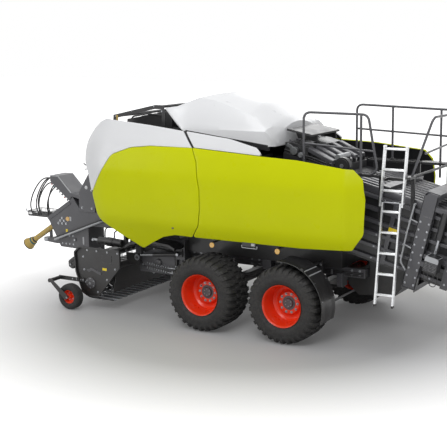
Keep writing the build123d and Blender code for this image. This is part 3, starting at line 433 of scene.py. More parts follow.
def rounded(path, radii, fine=6, closed=True, most=0.48, straight=89):
    """The points with each corner rounded by its own radius, or by most of its shorter run."""
    path = [Vector(p) for p in path]
    count, out = len(path), []
    for i, (point, radius) in enumerate(zip(path, radii)):
        before, after = path[i - 1] - point, path[(i + 1) % count] - point
        end = not closed and i in (0, count - 1)
        if radius <= 0 or end or before.angle(after) / 2 > math.radians(straight):
            out.append(point)
            continue
        cut = min(radius / math.tan(before.angle(after) / 2), before.length * most, after.length * most)
        a, b = point + before.normalized() * cut, point + after.normalized() * cut
        for t in (k / fine for k in range(fine + 1)):
            out.append(a * (1 - t) ** 2 + point * 2 * t * (1 - t) + b * t**2)
    return out


def soft_outline(outline, radii, fine=6):
    """A flat outline with rounded corners; one radius serves all."""
    outline = points(outline, 2)
    return rounded(outline, radii if hasattr(radii, "__len__") else [radii] * len(outline), fine)


def dress(node, key):
    """A solid that stays: its finish, and softened edges."""
    obj = frame["nodes"][node]
    obj.data.materials.clear()
    obj.data.materials.append(M[key])
    obj.modifiers.new("join", "WELD").merge_threshold = 0.0001
    add_bevel(obj, 0.004, 2, 28)


# Floor, light and world --------------------------------------------------------------------
FLOOR_HALF, FLOOR_Z = 60, -0.002
# The near colours are painted shade round the machine; the far colour is the pale floor.
NEAR_SHADE_DEEP, NEAR_SHADE_PALE, FAR_PALE = (0.41, 0.41, 0.42), (0.44, 0.44, 0.44), (0.90, 0.90, 0.90)
SKY_LIGHT = 0.30
LAMPS = (  # name, place, width, power
    ("key", (-3.0, 9.0, 8.5), 6.0, 520),
    ("fill", (9.0, 8.0, 5.5), 5.0, 130),
    ("top", (0.0, 0.0, 9.5), 7.0, 270),
    ("back", (2.0, -9.0, 6.5), 6.0, 160),
)
AIM = Vector((0, 0, 1.2))


def make_floor():
    """A floor painted darker near the machine as painted shade, paling to white away from it; it keeps the machine's
    cast shadow.
    """
    mesh = bpy.data.meshes.new("floor")
    corners = [(x * FLOOR_HALF, y * FLOOR_HALF, 0) for x, y in ((-1, -1), (1, -1), (1, 1), (-1, 1))]
    mesh.from_pydata(corners, [], [(0, 1, 2, 3)])
    floor = add_object("floor", mesh)
    floor.location.z = FLOOR_Z
    n = material("floor")
    away = n.add("VectorMath", "Value", n.where, operation="LENGTH")
    # Painted shade: within 2.6 m of the floor's middle its colour is dark grey, paling to the far colour by 6.6 m;
    # the camera-ray glow rises from 0.06 to 1 over 2.8 to 7.2 m.
    near = n.mix(n.noise(0.8, 3), NEAR_SHADE_DEEP, NEAR_SHADE_PALE)
    glow = n.spread(away, 0.06, 1.0, (2.8, 7.2))
    ray = n.add("LightPath", "Is Camera Ray")
    seen = n.maths("MAXIMUM", ray, ray.node.outputs["Is Glossy Ray"])
    n.shade(
        Roughness=0.6, Emission_Color=(1, 1, 1, 1), Emission_Strength=n.maths("MULTIPLY", glow, seen),
        Base_Color=n.mix(n.spread(away, 0, 1, (2.6, 6.6)), near, FAR_PALE),
    )
    mesh.materials.append(n.owner)


def make_light():
    """Soft lamps, a little light from all round, and a background that is white to the camera."""
    world = bpy.data.worlds.new("world")
    bpy.context.scene.world = world
    n = Nodes(world, "Background")
    ray = n.add("LightPath", "Is Camera Ray").node.outputs
    seen = n.maths("MAXIMUM", ray["Is Camera Ray"], ray["Is Glossy Ray"])
    seen = n.maths("MAXIMUM", seen, ray["Is Transmission Ray"])
    n.shade(Color=(1, 1, 1, 1), Strength=n.spread(seen, SKY_LIGHT, 1.0, (0, 1)))
    for name, place, size, power in LAMPS:
        data = bpy.data.lights.new(name, "AREA")
        data.shape = "DISK"
        data.size = size
        data.energy = power
        lamp = add_object(name, data)
        lamp.location = place
        lamp.rotation_euler = (AIM - lamp.location).to_track_quat("-Z", "Y").to_euler()
    bpy.context.scene.view_settings.view_transform = "Standard"


make_camera()
make_floor()
make_light()

# Hoses from the console into the tray: the same route points as in the solids' source
HOSE_R = 0.011
HOSES = {
    "hose_outer": (
        (4.395, 0.140, 1.795), (4.490, 0.141, 1.801), (4.600, 0.143, 1.747), (4.710, 0.144, 1.632),
        (4.806, 0.142, 1.484), (4.862, 0.138, 1.330), (4.856, 0.132, 1.218), (4.824, 0.126, 1.148),
    ),
    "hose_second": (
        (4.395, 0.060, 1.795), (4.485, 0.061, 1.794), (4.585, 0.062, 1.735), (4.690, 0.063, 1.610),
        (4.770, 0.062, 1.460), (4.812, 0.060, 1.318), (4.800, 0.058, 1.212), (4.764, 0.055, 1.148),
    ),
    "hose_third": (
        (4.395, -0.060, 1.795), (4.494, -0.060, 1.806), (4.608, -0.061, 1.752), (4.722, -0.062, 1.640),
        (4.822, -0.062, 1.490), (4.874, -0.060, 1.336), (4.862, -0.058, 1.220), (4.826, -0.056, 1.148),
    ),
    "hose_fourth": (
        (4.346, 0.100, 1.712), (4.436, 0.101, 1.716), (4.528, 0.102, 1.668), (4.616, 0.103, 1.568),
        (4.686, 0.102, 1.440), (4.716, 0.100, 1.318), (4.700, 0.098, 1.222), (4.664, 0.095, 1.148),
    ),
    "hose_fifth": (
        (4.266, 0.020, 1.650), (4.350, 0.020, 1.656), (4.438, 0.020, 1.612), (4.520, 0.020, 1.520),
        (4.578, 0.020, 1.404), (4.602, 0.020, 1.298), (4.594, 0.020, 1.216), (4.572, 0.020, 1.148),
    ),
    "hose_inner": (
        (4.346, -0.100, 1.712), (4.428, -0.100, 1.718), (4.510, -0.101, 1.674), (4.592, -0.102, 1.582),
        (4.654, -0.102, 1.462), (4.684, -0.102, 1.346), (4.680, -0.101, 1.238), (4.656, -0.100, 1.148),
    ),
}


def curve_length(curve):
    """Length of a curve object's centreline, from the curve without its thickness."""
    plain = curve.data.copy()
    plain.bevel_depth = 0
    holder = bpy.data.objects.new("measure", plain)
    mesh = bpy.data.meshes.new_from_object(holder)
    line = [v.co.copy() for v in mesh.vertices]
    bpy.data.meshes.remove(mesh)
    bpy.data.objects.remove(holder)
    bpy.data.curves.remove(plain)
    return sum((b - a).length for a, b in zip(line, line[1:]))


def make_hose(name, route):
    data = bpy.data.curves.new(name, "CURVE")
    data.dimensions = "3D"
    data.resolution_u = 12
    data.bevel_depth = HOSE_R
    data.bevel_resolution = 5
    data.use_fill_caps = True
    spline = data.splines.new("NURBS")
    spline.points.add(len(route) - 1)
    for point, (x, y, z) in zip(spline.points, route):
        point.co = (x + SX, y, z, 1)
    spline.order_u = 3
    spline.use_endpoint_u = True
    data.materials.append(M["hose"])
    hose = add_object(name + "_line", data)
    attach(hose, "chassis")
    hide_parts(name)
    x, y, z = route[0]
    round(curve_length(hose), 3)


if all(name in frame["nodes"] for name in HOSES):
    for name, route in HOSES.items():
        make_hose(name, route)

# Side doors and hood: smooth panels over the same section and outlines as the solids --------
DOOR_SIDE_Y = 1.4
DOOR_SECTION = (
    (0.9, 0.3), (1, 0.24), (1.335, 0.1), (1.51, 0.02), (1.75, 0), (2.2, 0), (2.41, 0.055), (2.6, 0.12),
    (2.81, 0.25), (3, 0.37), (3.2, 0.5),
)
NOSE_X, NOSE_R, NOSE_TURN = 2.25, 0.9, math.radians(40)
CREASE_X, REAR_IN = -1.56, 0.105
DOOR_REAR = ((-2.13, REAR_IN * 2.1), (CREASE_X, 0), (NOSE_X, 0))


def line_at(table, at):
    """A value read from a table of pairs, straight between its rows."""
    for (a, va), (b, vb) in zip(table, table[1:]):
        if at <= b:
            return va + (vb - va) * (at - a) / (b - a)
    return table[-1][1]


def soft_at(table, at, reach):
    """The same, with its corners rounded over a reach."""
    return sum(line_at(table, at + reach * k / 4) for k in range(-4, 5)) / 9


def skin_y(x, z):
    """How far out the doors' skin stands."""
    inset = soft_at(DOOR_SECTION, z, 0.035 if z < 1.42 else 0.075)
    if x <= NOSE_X:
        return DOOR_SIDE_Y - inset - soft_at(DOOR_REAR, x, 0.02)
    reach, centre = NOSE_R - inset, DOOR_SIDE_Y - NOSE_R
    turn_x = NOSE_X + reach * math.sin(NOSE_TURN)
    if x <= turn_x:
        return centre + math.sqrt(reach**2 - (x - NOSE_X) ** 2)
    return centre + reach * math.cos(NOSE_TURN) - (x - turn_x) * math.tan(NOSE_TURN)


def make_panel(name, outline, radii, side, body, key, node, proud=0.0):
    """A door panel: its outline filled with a grid and laid on the skin; black inside."""
    work = bmesh.new()
    edge = rounded(outline, radii)
    work.faces.new([work.verts.new((p.x, 0, p.y)) for p in edge])
    xs, zs = [p.x for p in edge], [p.y for p in edge]
    cuts = []
    x = math.floor(min(xs) / 0.08) * 0.08
    while x < max(xs):
        x += 0.035 if x > NOSE_X - 0.1 or x < CREASE_X + 0.06 else 0.08
        cuts.append(((x, 0, 0), (1, 0, 0)))
    z = min(zs)
    while z < max(zs):
        z += 0.03
        cuts.append(((0, 0, z), (0, 0, 1)))
    for at, way in cuts:
        every = work.verts[:] + work.edges[:] + work.faces[:]
        bmesh.ops.bisect_plane(work, geom=every, plane_co=at, plane_no=way, dist=1e-5)
    for vert in work.verts:
        vert.co.y = side * (skin_y(vert.co.x, vert.co.z) + proud)
    bmesh.ops.remove_doubles(work, verts=work.verts, dist=1e-4)
    bmesh.ops.recalc_face_normals(work, faces=work.faces)
    if sum(f.normal.y * f.calc_area() for f in work.faces) * side < 0:
        bmesh.ops.reverse_faces(work, faces=work.faces)
    for face in work.faces:
        face.smooth = True
    mesh = bpy.data.meshes.new(name)
    work.to_mesh(mesh)
    work.free()
    mesh.materials.append(M[key])
    mesh.materials.append(M["black"])
    Form(key).make(name, node, 0.004, 50, body, mesh, thick=0.03)


SEAM = (
    (0.829, 1.335), (0.684, 1.521), (0.644, 1.75), (0.644, 2.034), (0.722, 2.413), (0.825, 2.596), (1.041, 2.811),
)
GAP = 0.007
PANELS = (  # body, colour, outline, radii, how far proud
    (
        "front", "white",
        ((0.838, 2.598), (1.536, 2.594), (1.878, 2.556), (2.193, 2.442), (2.563, 1.857), (2.65, 2.147), (2.8, 2.31),
         (2.876, 2.45), (2.868, 2.6), (2.79, 2.76), (2.64, 2.87), (2.486, 2.926), (2, 2.893), (1.648, 2.867),
         (1.056, 2.811)),
        (0, 0.3, 0.25, 0.2, 0.03, 0.3, 0.3, 0.2, 0.2, 0.2, 0.2, 0.1, 0.5, 0.5, 0.012), 0.0,
    ),
    (
        "front", "lime",
        tuple((x + GAP, z) for x, z in SEAM[:6])
        + ((1.536, 2.586), (1.874, 2.548), (2.186, 2.436), (2.55, 1.852), (2.514, 1.746), (2.447, 1.48),
           (2.125, 1.271), (1.762, 1.065), (1.586, 1.164), (1.354, 1.284), (1.13, 1.338)),
        (0.03, 0.12, 0.15, 0.2, 0.2, 0, 0.3, 0.25, 0.15, 0.1, 0.2, 0.25, 0.4, 0.06, 0.2, 0.15, 0.1), 0.003,
    ),
    (
        "rear", "white", ((0.797, 2.604), (1.008, 2.811), (0.259, 2.74), (-0.2, 2.646), (-0.303, 2.548)),
        (0.01, 0.015, 0.4, 0.12, 0.03), 0.0,
    ),
    (
        "rear", "lime",
        tuple((x - GAP, z) for x, z in SEAM[:6])
        + ((-0.303, 2.54), (-0.85, 2.52), (-1.51, 2.452), (-1.65, 2.445), (-1.78, 2.32), (-1.822, 2.06),
           (-1.8, 1.6), (-1.64, 1.38), (-0.89, 1.34)),
        (0.03, 0.12, 0.15, 0.2, 0.2, 0, 0.4, 0.4, 0.15, 0.05, 0.06, 0.2, 0.15, 0.05, 0.4), 0.003,
    ),
)


def make_door_fittings(side_name, side, front, rear):
    """Rubber strip behind the seam, hinges under the top edge, latch and lock."""
    strip, latch, lock = Form("seal", "black"), Form("black", "redcap", "light"), Form("black", "zinc")
    for form in (strip, latch, lock):
        form.side = side
    for (x0, z0), (x1, z1) in zip(SEAM, SEAM[1:]):
        quad = [(x0 - 0.03, z0), (x0 + 0.03, z0), (x1 + 0.03, z1), (x1 - 0.03, z1)]
        strip.loft([[(x, skin_y(x, z) - deep, z) for x, z in quad] for deep in (0.036, 0.046)])
    strip.make(f"seam_strip_{side_name}", None, 0.002, body=rear)
    for body, y, z, stations in ((front, 1.08, 2.8, (1.25, 2.01)), (rear, 1.16, 2.61, (-0.16, 0.72))):
        hinge = Form("black", "zinc")
        hinge.side = side
        for x in stations:
            hinge.rod((x, y, z), (x + 0.07, y, z), 0.021, 20)
            hinge.box(x + 0.01, x + 0.06, y, skin_y(x + 0.035, z) - 0.028, z - 0.018, z + 0.008)
        hinge.make(f"hinge_{body}", None, 0.002, body=body)
    y = skin_y(-0.05, 1.36)
    latch.box(-0.2, 0.02, y - 0.05, y - 0.005, 1.285, 1.348)
    latch.box(-0.185, -0.13, y - 0.03, y + 0.003, 1.3, 1.335, "light")
    handle = [(x, y - 0.02, z) for x, z in ((-0.21, 1.3), (-0.21, 1.262), (0.03, 1.262), (0.03, 1.3))]
    latch.pipe(handle, 0.006, 8, "light", 0.015)
    latch.make(f"latch_{side_name}", None, 0.003, body=rear)
    y = skin_y(1.13, 1.45)
    lock.axle(1.13, 1.45, y - 0.02, y + 0.006, 0.017, 24)
    lock.axle(1.13, 1.45, y, y + 0.008, 0.006, 12, "zinc")
    lock.make(f"lock_{side_name}", None, 0.0015, body=front)


SIDES = (("left", 1), ("right", -1))
for side_name, side in SIDES:
    for place, key, outline, radii, proud in PANELS:
        node = f"door_{place}_{key}_{side_name}"
        body = f"door_{place}_{side_name}"
        make_panel(f"{place}_{key}_panel_{side_name}", outline, radii, side, body, key, node, proud)
    make_door_fittings(side_name, side, f"door_front_{side_name}", f"door_rear_{side_name}")

HOOD_REAR, HOOD_LEN, HOOD_ROWS = -0.225, 1.705, 44
HOOD_LOW = ((-0.225, 2.62), (1.19, 2.78), (1.48, 3.105))
HOOD_TOP = ((-0.225, 2.7), (-0.185, 2.93), (0.25, 3.2), (0.82, 3.318), (1.12, 3.28), (1.48, 3.118))
HOOD_CREASE_Y = ((-0.225, 0.8), (1.12, 0.62), (1.48, 0.66))
HOOD_CREASE_Z = ((-0.225, 2.66), (-0.12, 2.86), (0.25, 3.06), (0.82, 3.215), (1.12, 3.245), (1.48, 3.112))


def make_hood():
    """The white hood: a crowned top, sloping flanks and a rounded tail."""
    rows = []
    for x in (HOOD_REAR + HOOD_LEN * k / HOOD_ROWS for k in range(HOOD_ROWS + 1)):
        low = line_at(HOOD_LOW, x)
        top = soft_at(HOOD_TOP, x, 0.05) if -0.16 < x < 1.4 else line_at(HOOD_TOP, x)
        tail = max(0.0, min(1.0, (x - HOOD_REAR) / 0.32))
        narrow = 1 - 0.17 * (1 - math.sqrt(1 - (1 - tail) ** 2))
        side_y, crease_y = 0.945 * narrow, line_at(HOOD_CREASE_Y, x) * narrow
        crease_z = min(top - 0.004, line_at(HOOD_CREASE_Z, x))
        shoulder = max(min(2.83, crease_z - 0.01), low + 0.004)
        half = [(side_y - 0.006 * k, low + (shoulder - low) * k / 4) for k in range(5)]
        for t in (k / 7 for k in range(1, 8)):
            swell = 0.03 * math.sin(math.pi * t) * (top - low)
            out = side_y - 0.03 + (crease_y - side_y + 0.03) * t
            half.append((out, shoulder + (crease_z - shoulder) * t + swell))
        for t in (k / 8 for k in range(1, 9)):
            half.append((crease_y * (1 - t), crease_z + (top - crease_z) * math.sin(math.pi / 2 * t)))
        rows.append([(x, y, z) for y, z in half] + [(x, -y, z) for y, z in reversed(half[:-1])])
    form = Form("white", "black")
    form.loft(rows, loop=False)
    form.make("hood_shell", "top_hood", 0.004, 24, thick=0.018)


make_hood()

# Wheels ------------------------------------------------------------------------------------
TYRE_R, TYRE_HALF_W, LUGS = 0.538, 0.28, 32
WHEEL_Y, AXLE_X = 1.17, WHEELBASE / 2
GAUGE_X, GAUGE_Y, GAUGE_R = 3.085, 1.29, 0.2


def make_tyre_mesh():
    """Carcass with a stiff shoulder, side rings, and rows of blocks with grooves between."""
    w, r = TYRE_HALF_W, TYRE_R
    form = Form("tyre")
    half = points((
        0.052, 0.2845, 0.034, 0.3, 0.02, 0.322, 0.01, 0.345, 0.006, 0.352, 0.004, 0.36, 0.001, 0.372, 0, 0.395,
        0.002, 0.418, 0.0035, 0.424, 0.001, 0.428, 0.002, 0.434, 0.01, 0.462, 0.026, 0.488, 0.05, 0.503, 0.09, 0.512,
        0.16, 0.517,
    ), 2)
    inside = [(w - 0.06, 0.292), (w - 0.09, 0.31)]
    profile = [(w - y, z) for y, z in half] + [(0, 0.519)] + [(y - w, z) for y, z in reversed(half)]
    form.ring(profile + [(-y, z) for y, z in inside] + [(0, 0.33)] + inside[::-1], 88)
    # Rows of a block: across, forward edge and rear edge in shares of a pitch, how far below the tread
    shoulder = (
        (0.118, -0.3, 0.16, 0.001), (0.18, -0.27, 0.2, 0.002), (0.236, -0.23, 0.24, 0.012),
        (0.262, -0.2, 0.24, 0.034), (0.2765, -0.15, 0.2, 0.075),
    )
    middle = ((0.012, -0.36, 0.08, 0), (0.06, -0.32, 0.12, 0), (0.1, -0.28, 0.16, 0.001))
    for side in form.sides():
        for k in range(LUGS):
            base = k + (0 if side > 0 else 0.5)
            for block, shift, depth in ((shoulder, 0, 0.03), (middle, 0.18, 0.022)):
                rows = []
                for y, a, b, down in block:
                    corners = ((a, 0), (b, 0), (b + 0.05, depth), (a - 0.05, depth))
                    turns = [(TURN / LUGS * (base + shift + turn), r - down - deep) for turn, deep in corners]
                    rows.append([(rad * math.sin(t), y, rad * math.cos(t)) for t, rad in turns])
                form.loft(rows)
    return form.mesh("tyre", 30)


def make_rim_mesh():
    """A deep dished rim with a grey hub, ten studs and a valve."""
    w = TYRE_HALF_W
    form = Form("red", "grey", "zinc", "black")
    form.ring((
        w - 0.02, 0.297, w - 0.028, 0.298, w - 0.034, 0.292, w - 0.04, 0.284, 0.03, 0.272, -0.03, 0.268,
        0.045 - w, 0.284, 0.034 - w, 0.292, 0.028 - w, 0.298, 0.02 - w, 0.297, 0.022 - w, 0.287, 0.04 - w, 0.272,
        -0.03, 0.258, 0.005, 0.258, 0.06, 0.263, w - 0.07, 0.27, w - 0.045, 0.276, w - 0.026, 0.287,
    ), 96)
    form.ring((
        0.012, 0.259, 0.004, 0.25, -0.014, 0.232, -0.02, 0.205, -0.012, 0.18, 0.014, 0.165, 0.03, 0.15, 0.033, 0.118,
        0.033, 0.06, 0.02, 0.06, 0.02, 0.14, 0.004, 0.158, -0.024, 0.176, -0.034, 0.205, -0.03, 0.236, -0.014, 0.258,
    ), 96)
    form.ring((
        0.056, 0.0005, 0.056, 0.06, 0.05, 0.066, 0.034, 0.07, 0.034, 0.1, -0.06, 0.105, -0.145, 0.105,
        -0.145, 0.0335, 0.018, 0.0335, 0.018, 0.0005,
    ), 48, "grey")
    for x, z in around(10, 0.132):
        form.bolt((x, 0.033, z), 0.012, 0.014)
        form.axle(x, z, 0.033, 0.058, 0.006, 10, "zinc")
    form.rod((0.225, -0.012, 0.06), (0.235, 0.05, 0.063), 0.005, 8, "black")
    for x, z in around(6, 0.045, 0.5):
        form.axle(x, z, 0.052, 0.0595, 0.006, 6, "zinc")
    return form.mesh("rim", 32)


def make_gauge_meshes():
    tyre, rim = Form("tyre"), Form("red", "zinc", "black")
    half = points((
        0.053, 0.1045, 0.066, 0.115, 0.074, 0.14, 0.0745, 0.16, 0.066, 0.184, 0.05, 0.1945, 0.04, 0.1965,
        0.037, 0.191, 0.031, 0.191, 0.028, 0.1985, 0.006, 0.1995, 0.004, 0.193,
    ), 2)
    tyre.ring(half + [(-y, r) for y, r in reversed(half)] + [(-0.04, 0.112), (0.04, 0.112)], 64)
    rim.ring((
        0.055, 0.104, 0.05, 0.1035, 0.03, 0.09, -0.03, 0.09, -0.05, 0.1035, -0.055, 0.104, -0.055, 0.098,
        -0.028, 0.083, -0.006, 0.078, -0.006, 0.036, 0.006, 0.036, 0.006, 0.078, 0.028, 0.083, 0.055, 0.098,
    ), 48)
    rim.ring((
        0.06, 0.0156, 0.06, 0.03, 0.04, 0.036, -0.04, 0.036, -0.06, 0.03, -0.06, 0.0156,
    ), 32)
    for x, z in around(5, 0.056):
        rim.bolt((x, 0.006, z), 0.007, 0.007)
    return tyre.mesh("gauge_tyre", 30), rim.mesh("gauge_rim", 30)


def set_wheel(name, body, x, y, z, side, meshes, bevels, spin):
    """A tyre and a rim on their axle, the rim's face outwards."""
    place = Matrix.Translation((x + SX, side * y, z)) @ Matrix.Rotation(0 if side > 0 else math.pi, 4, "Z") @ spin
    for kind, key, mesh, bevel in zip(("tyre", "rim"), ("tyre", "red"), meshes, bevels):
        node = name.format(kind)
        Form(key).make(node + "_wheel", node, bevel, 30, body, mesh, place, 1)


wheel_meshes, gauge_meshes = (make_tyre_mesh(), make_rim_mesh()), make_gauge_meshes()
for side_name, side in SIDES:
    for end, x in (("front", AXLE_X), ("rear", -AXLE_X)):
        set_wheel(
            f"{{}}_{end}_{side_name}", f"wheel_{end}_{side_name}", x, WHEEL_Y, TYRE_R, side, wheel_meshes,
            (0.0025, 0.0), Matrix.Rotation(math.pi, 4, "Y"),
        )
    set_wheel(
        f"gauge_{{}}_{side_name}", f"gauge_wheel_{side_name}", GAUGE_X, GAUGE_Y, GAUGE_R, side, gauge_meshes,
        (0.0015, 0.0015), Matrix(),
    )

# Bale channel and what stands on it --------------------------------------------------------
SLOPE = math.radians(13.5)
CHANNEL_AT = Vector((-1.2, 0, 1.7))
U_WAY, W_WAY = Vector((math.cos(SLOPE), 0, math.sin(SLOPE))), Vector((-math.sin(SLOPE), 0, math.cos(SLOPE)))
CHANNEL_LEN, WALL_Y, HALF_H = 2.15, 0.63, 0.45
COLUMN_Y = WALL_Y + 0.05
CHUTE_X, CHUTE_Z = -3.21996, 0.71112


def on_channel(point):
    """A point of the machine, from one in the sloping channel's own directions."""
    return CHANNEL_AT + U_WAY * point.x + Vector((0, point.y, 0)) + W_WAY * point.z


def turned(x, y, z, angle):
    """A place for a form: about this point, turned by an angle about the Y axis."""
    return (Matrix.Translation((x, y, z)) @ Matrix.Rotation(angle, 4, "Y")).__matmul__


def make_channel():
    """Bale channel: floor, walls with folded ribs, lugs for the chute, and slats on top."""
    walls = Form("black", "grey", "zinc", "plate", place=on_channel)
    walls.box(-CHANNEL_LEN, 0, -WALL_Y, WALL_Y, -HALF_H - 0.03, -HALF_H)
    x, z = CHUTE_X, CHUTE_Z
    lug = (x - 0.04, z - 0.035, x + 0.09, z - 0.035, x + 0.16, z + 0.1, x - 0.01, z + 0.12)
    for _ in walls.sides():
        walls.place = on_channel
        walls.box(-CHANNEL_LEN, 0, 0.6, WALL_Y, -HALF_H, HALF_H)
        for w in steps(0.04 - HALF_H, 0.164, 6):
            rib = [(WALL_Y + out, w + dw) for dw, out in ((-0.031, 0), (-0.022, 0.05), (0.022, 0.05), (0.031, 0))]
            walls.prism(rib, -CHANNEL_LEN, 0, "grey", "x")
            for u in (-0.55, -0.95, -1.42, -1.95):
                walls.bolt((u, COLUMN_Y, w), 0.009, 0.007)
        for u in (-0.72, -1.88):
            walls.box(u - 0.03, u + 0.03, WALL_Y + 0.002, WALL_Y + 0.046, -HALF_H, HALF_H, "grey")
        walls.place = None
        walls.prism(lug, WALL_Y, WALL_Y + 0.02, "grey")
        walls.axle(x, z, 0.53, WALL_Y + 0.02, 0.0155, 20, "zinc")
    walls.make("channel_sides", "channel_walls", 0.003)
    plate = Form("plate", place=on_channel)
    plate.box(-0.86, -0.7, WALL_Y + 0.047, WALL_Y + 0.053, 0.02, 0.08)
    plate.make("channel_bare_plate", None, 0.001)
    slats = Form("grey", "zinc", place=on_channel)
    slat = ((-0.034, 0), (-0.034, 0.07), (-0.024, 0.088), (0.024, 0.088), (0.034, 0.07), (0.034, 0))
    for y in steps(0.04 - WALL_Y, (2 * WALL_Y - 0.08) / 9, 10):
        slats.prism([(y + dy, HALF_H + w) for dy, w in slat], -CHANNEL_LEN, 0, None, "x")
        slats.bolt((0.06 - CHANNEL_LEN, y, HALF_H + 0.088), 0.008, 0.006, (0, 0, 1))
    for u in (-1.9, -0.5):
        slats.box(u - 0.06, u + 0.06, -WALL_Y, WALL_Y, HALF_H + 0.07, HALF_H + 0.138)
    slats.make("channel_top_slats", "channel_slats", 0.003)


def make_yoke():
    """Folded columns with bolts, tension cylinders, crossbeams, and a tube guard by the near one."""
    yoke = Form("grey", "zinc", "light", "black", place=on_channel)
    u, out = -1.19, COLUMN_Y
    for _ in yoke.sides():
        yoke.box(u - 0.095, u + 0.095, out, out + 0.012, -0.64, 0.72)
        for e in (-0.095, 0.083):
            yoke.box(u + e, u + e + 0.012, out, out + 0.08, -0.64, 0.7)
        yoke.box(u - 0.095, u + 0.095, out + 0.068, out + 0.08, -0.6, 0.4)
        cap = (u - 0.095, 0.4, u + 0.095, 0.4, u + 0.095, 0.66, u + 0.02, 0.72, u - 0.095, 0.72)
        yoke.prism(cap, out + 0.066, out + 0.08)
        for row in (-0.06, 0.06):
            for w in steps(-0.55, 0.108, 9):
                yoke.bolt((u + row, out + 0.08, w), 0.01, 0.008)
        yoke.box(-1.7, -1.6, out, out + 0.06, -0.47, 0.64)
        for w in steps(-0.4, 0.19, 6):
            yoke.bolt((-1.65, out + 0.06, w), 0.01, 0.008)
        yoke.rod((-1.42, out + 0.04, 0.52), (-1.42, out + 0.04, 0.15), 0.045, 24, "black")
        yoke.rod((-1.42, out + 0.04, 0.16), (-1.42, out + 0.04, -0.1), 0.02, 16, "zinc")
        for w in (0.5, -0.15):
            yoke.box(-1.6, u - 0.09, out + 0.01, out + 0.07, w, w + 0.06)
    for u0, u1, w0, w1 in (
        (u - 0.095, u + 0.095, 0.64, 0.72), (u - 0.095, u + 0.095, -0.64, -0.56), (-1.7, -1.6, 0.59, 0.64),
    ):
        yoke.box(u0, u1, -out, out, w0, w1)
    for y in (-0.33, 0.33):
        yoke.rod((-1.61, y, 0.625), (u - 0.09, y, 0.625), 0.032, 20, "black")
    guard = [(-0.98, 0.03, 0.5), (-0.98, 0.06, 0.1), (-0.99, 0.06, -0.3), (-1.1, 0.06, -0.4), (-1.19, 0.06, -0.4)]
    yoke.pipe([(x, out + y, w) for x, y, w in guard], 0.013, 12, "light", 0.09)
    for w in (0.3, -0.06):
        yoke.pipe([(-0.98, out + 0.05, w), (-1.1, out + 0.05, w - 0.02)], 0.01, 10, "light")
    yoke.rod((-0.98, out - 0.01, 0.5), (-0.98, out + 0.045, 0.5), 0.013, 12, "light")
    yoke.make("tension_columns", "tension_yoke", 0.003)


LADDER_X0, LADDER_X1, STILE = -2.2, -1.865, 0.024
LENGTHS = (  # name, body, node, bottom, top, inset, half depth, rungs
    ("ladder_top", "chassis", "ladder_upper", 1.94, 2.72, 0.0, 0.03, range(3)),
    ("ladder_foot", "ladder_foot", "ladder_lower", 0.64, 2.014, 0.03, 0.024, range(3, 8)),
)


def ladder_y(z):
    return 0.8 + (2.72 - z) * 0.168


def make_ladder():
    """Two stiles of channel section with oval rungs, in a fixed and a folding length."""
    for name, body, node, low, high, inset, depth, rungs in LENGTHS:
        fixed = body == "chassis"
        form = Form("alu", "black", "zinc")
        caps = ((high - 0.02, high + 0.006),) if fixed else ((low, low + 0.03), (high - 0.02, high + 0.004))
        for x in (LADDER_X0 + inset, LADDER_X1 - inset - STILE):
            ends = ((low, -depth), (low, depth), (high, depth), (high, -depth))
            form.prism([(ladder_y(z) + d, z) for z, d in ends], x, x + STILE, None, "x")
            for z0, z1 in caps:
                y = ladder_y(z0 if z0 > low else low - 0.004)
                edge = depth + 0.002
                form.box(x - 0.002, x + 0.026, y - edge, y + edge, z0, z1, "alu" if fixed else "black")
        for z in (2.68 - k * 0.27 for k in rungs):
            y = ladder_y(z)
            half = [(-depth, -0.008), (-depth, 0.008), (0.008 - depth, 0.014), (depth - 0.008, 0.014)]
            oval = [(y + dy, z + dz) for dy, dz in half + [(-dy, -dz) for dy, dz in half]]
            form.prism(oval, LADDER_X0 + inset + 0.02, LADDER_X1 - inset - 0.02, None, "x")
            for yy in steps(y - depth + 0.008, (2 * depth - 0.016) / 4, 5):
                x0, x1 = LADDER_X0 + inset + 0.03, LADDER_X1 - inset - 0.03
                form.box(x0, x1, yy - 0.0022, yy + 0.0022, z + 0.0135, z + 0.0165)
        if fixed:
            pin = ladder_y(1.99)
            form.rod((LADDER_X0 - 0.01, pin, 1.99), (LADDER_X1 + 0.01, pin, 1.99), 0.0098, 16, "zinc")
            form.box(-2.21, -1.805, 0.68, 0.712, 2.25, 2.29, "black")
            for x in (LADDER_X0, LADDER_X1 - STILE):
                form.box(x + 0.002, x + 0.022, 0.7, ladder_y(2.27), 2.252, 2.288, "black")
        form.make(name, node, 0.0018, 40, body)


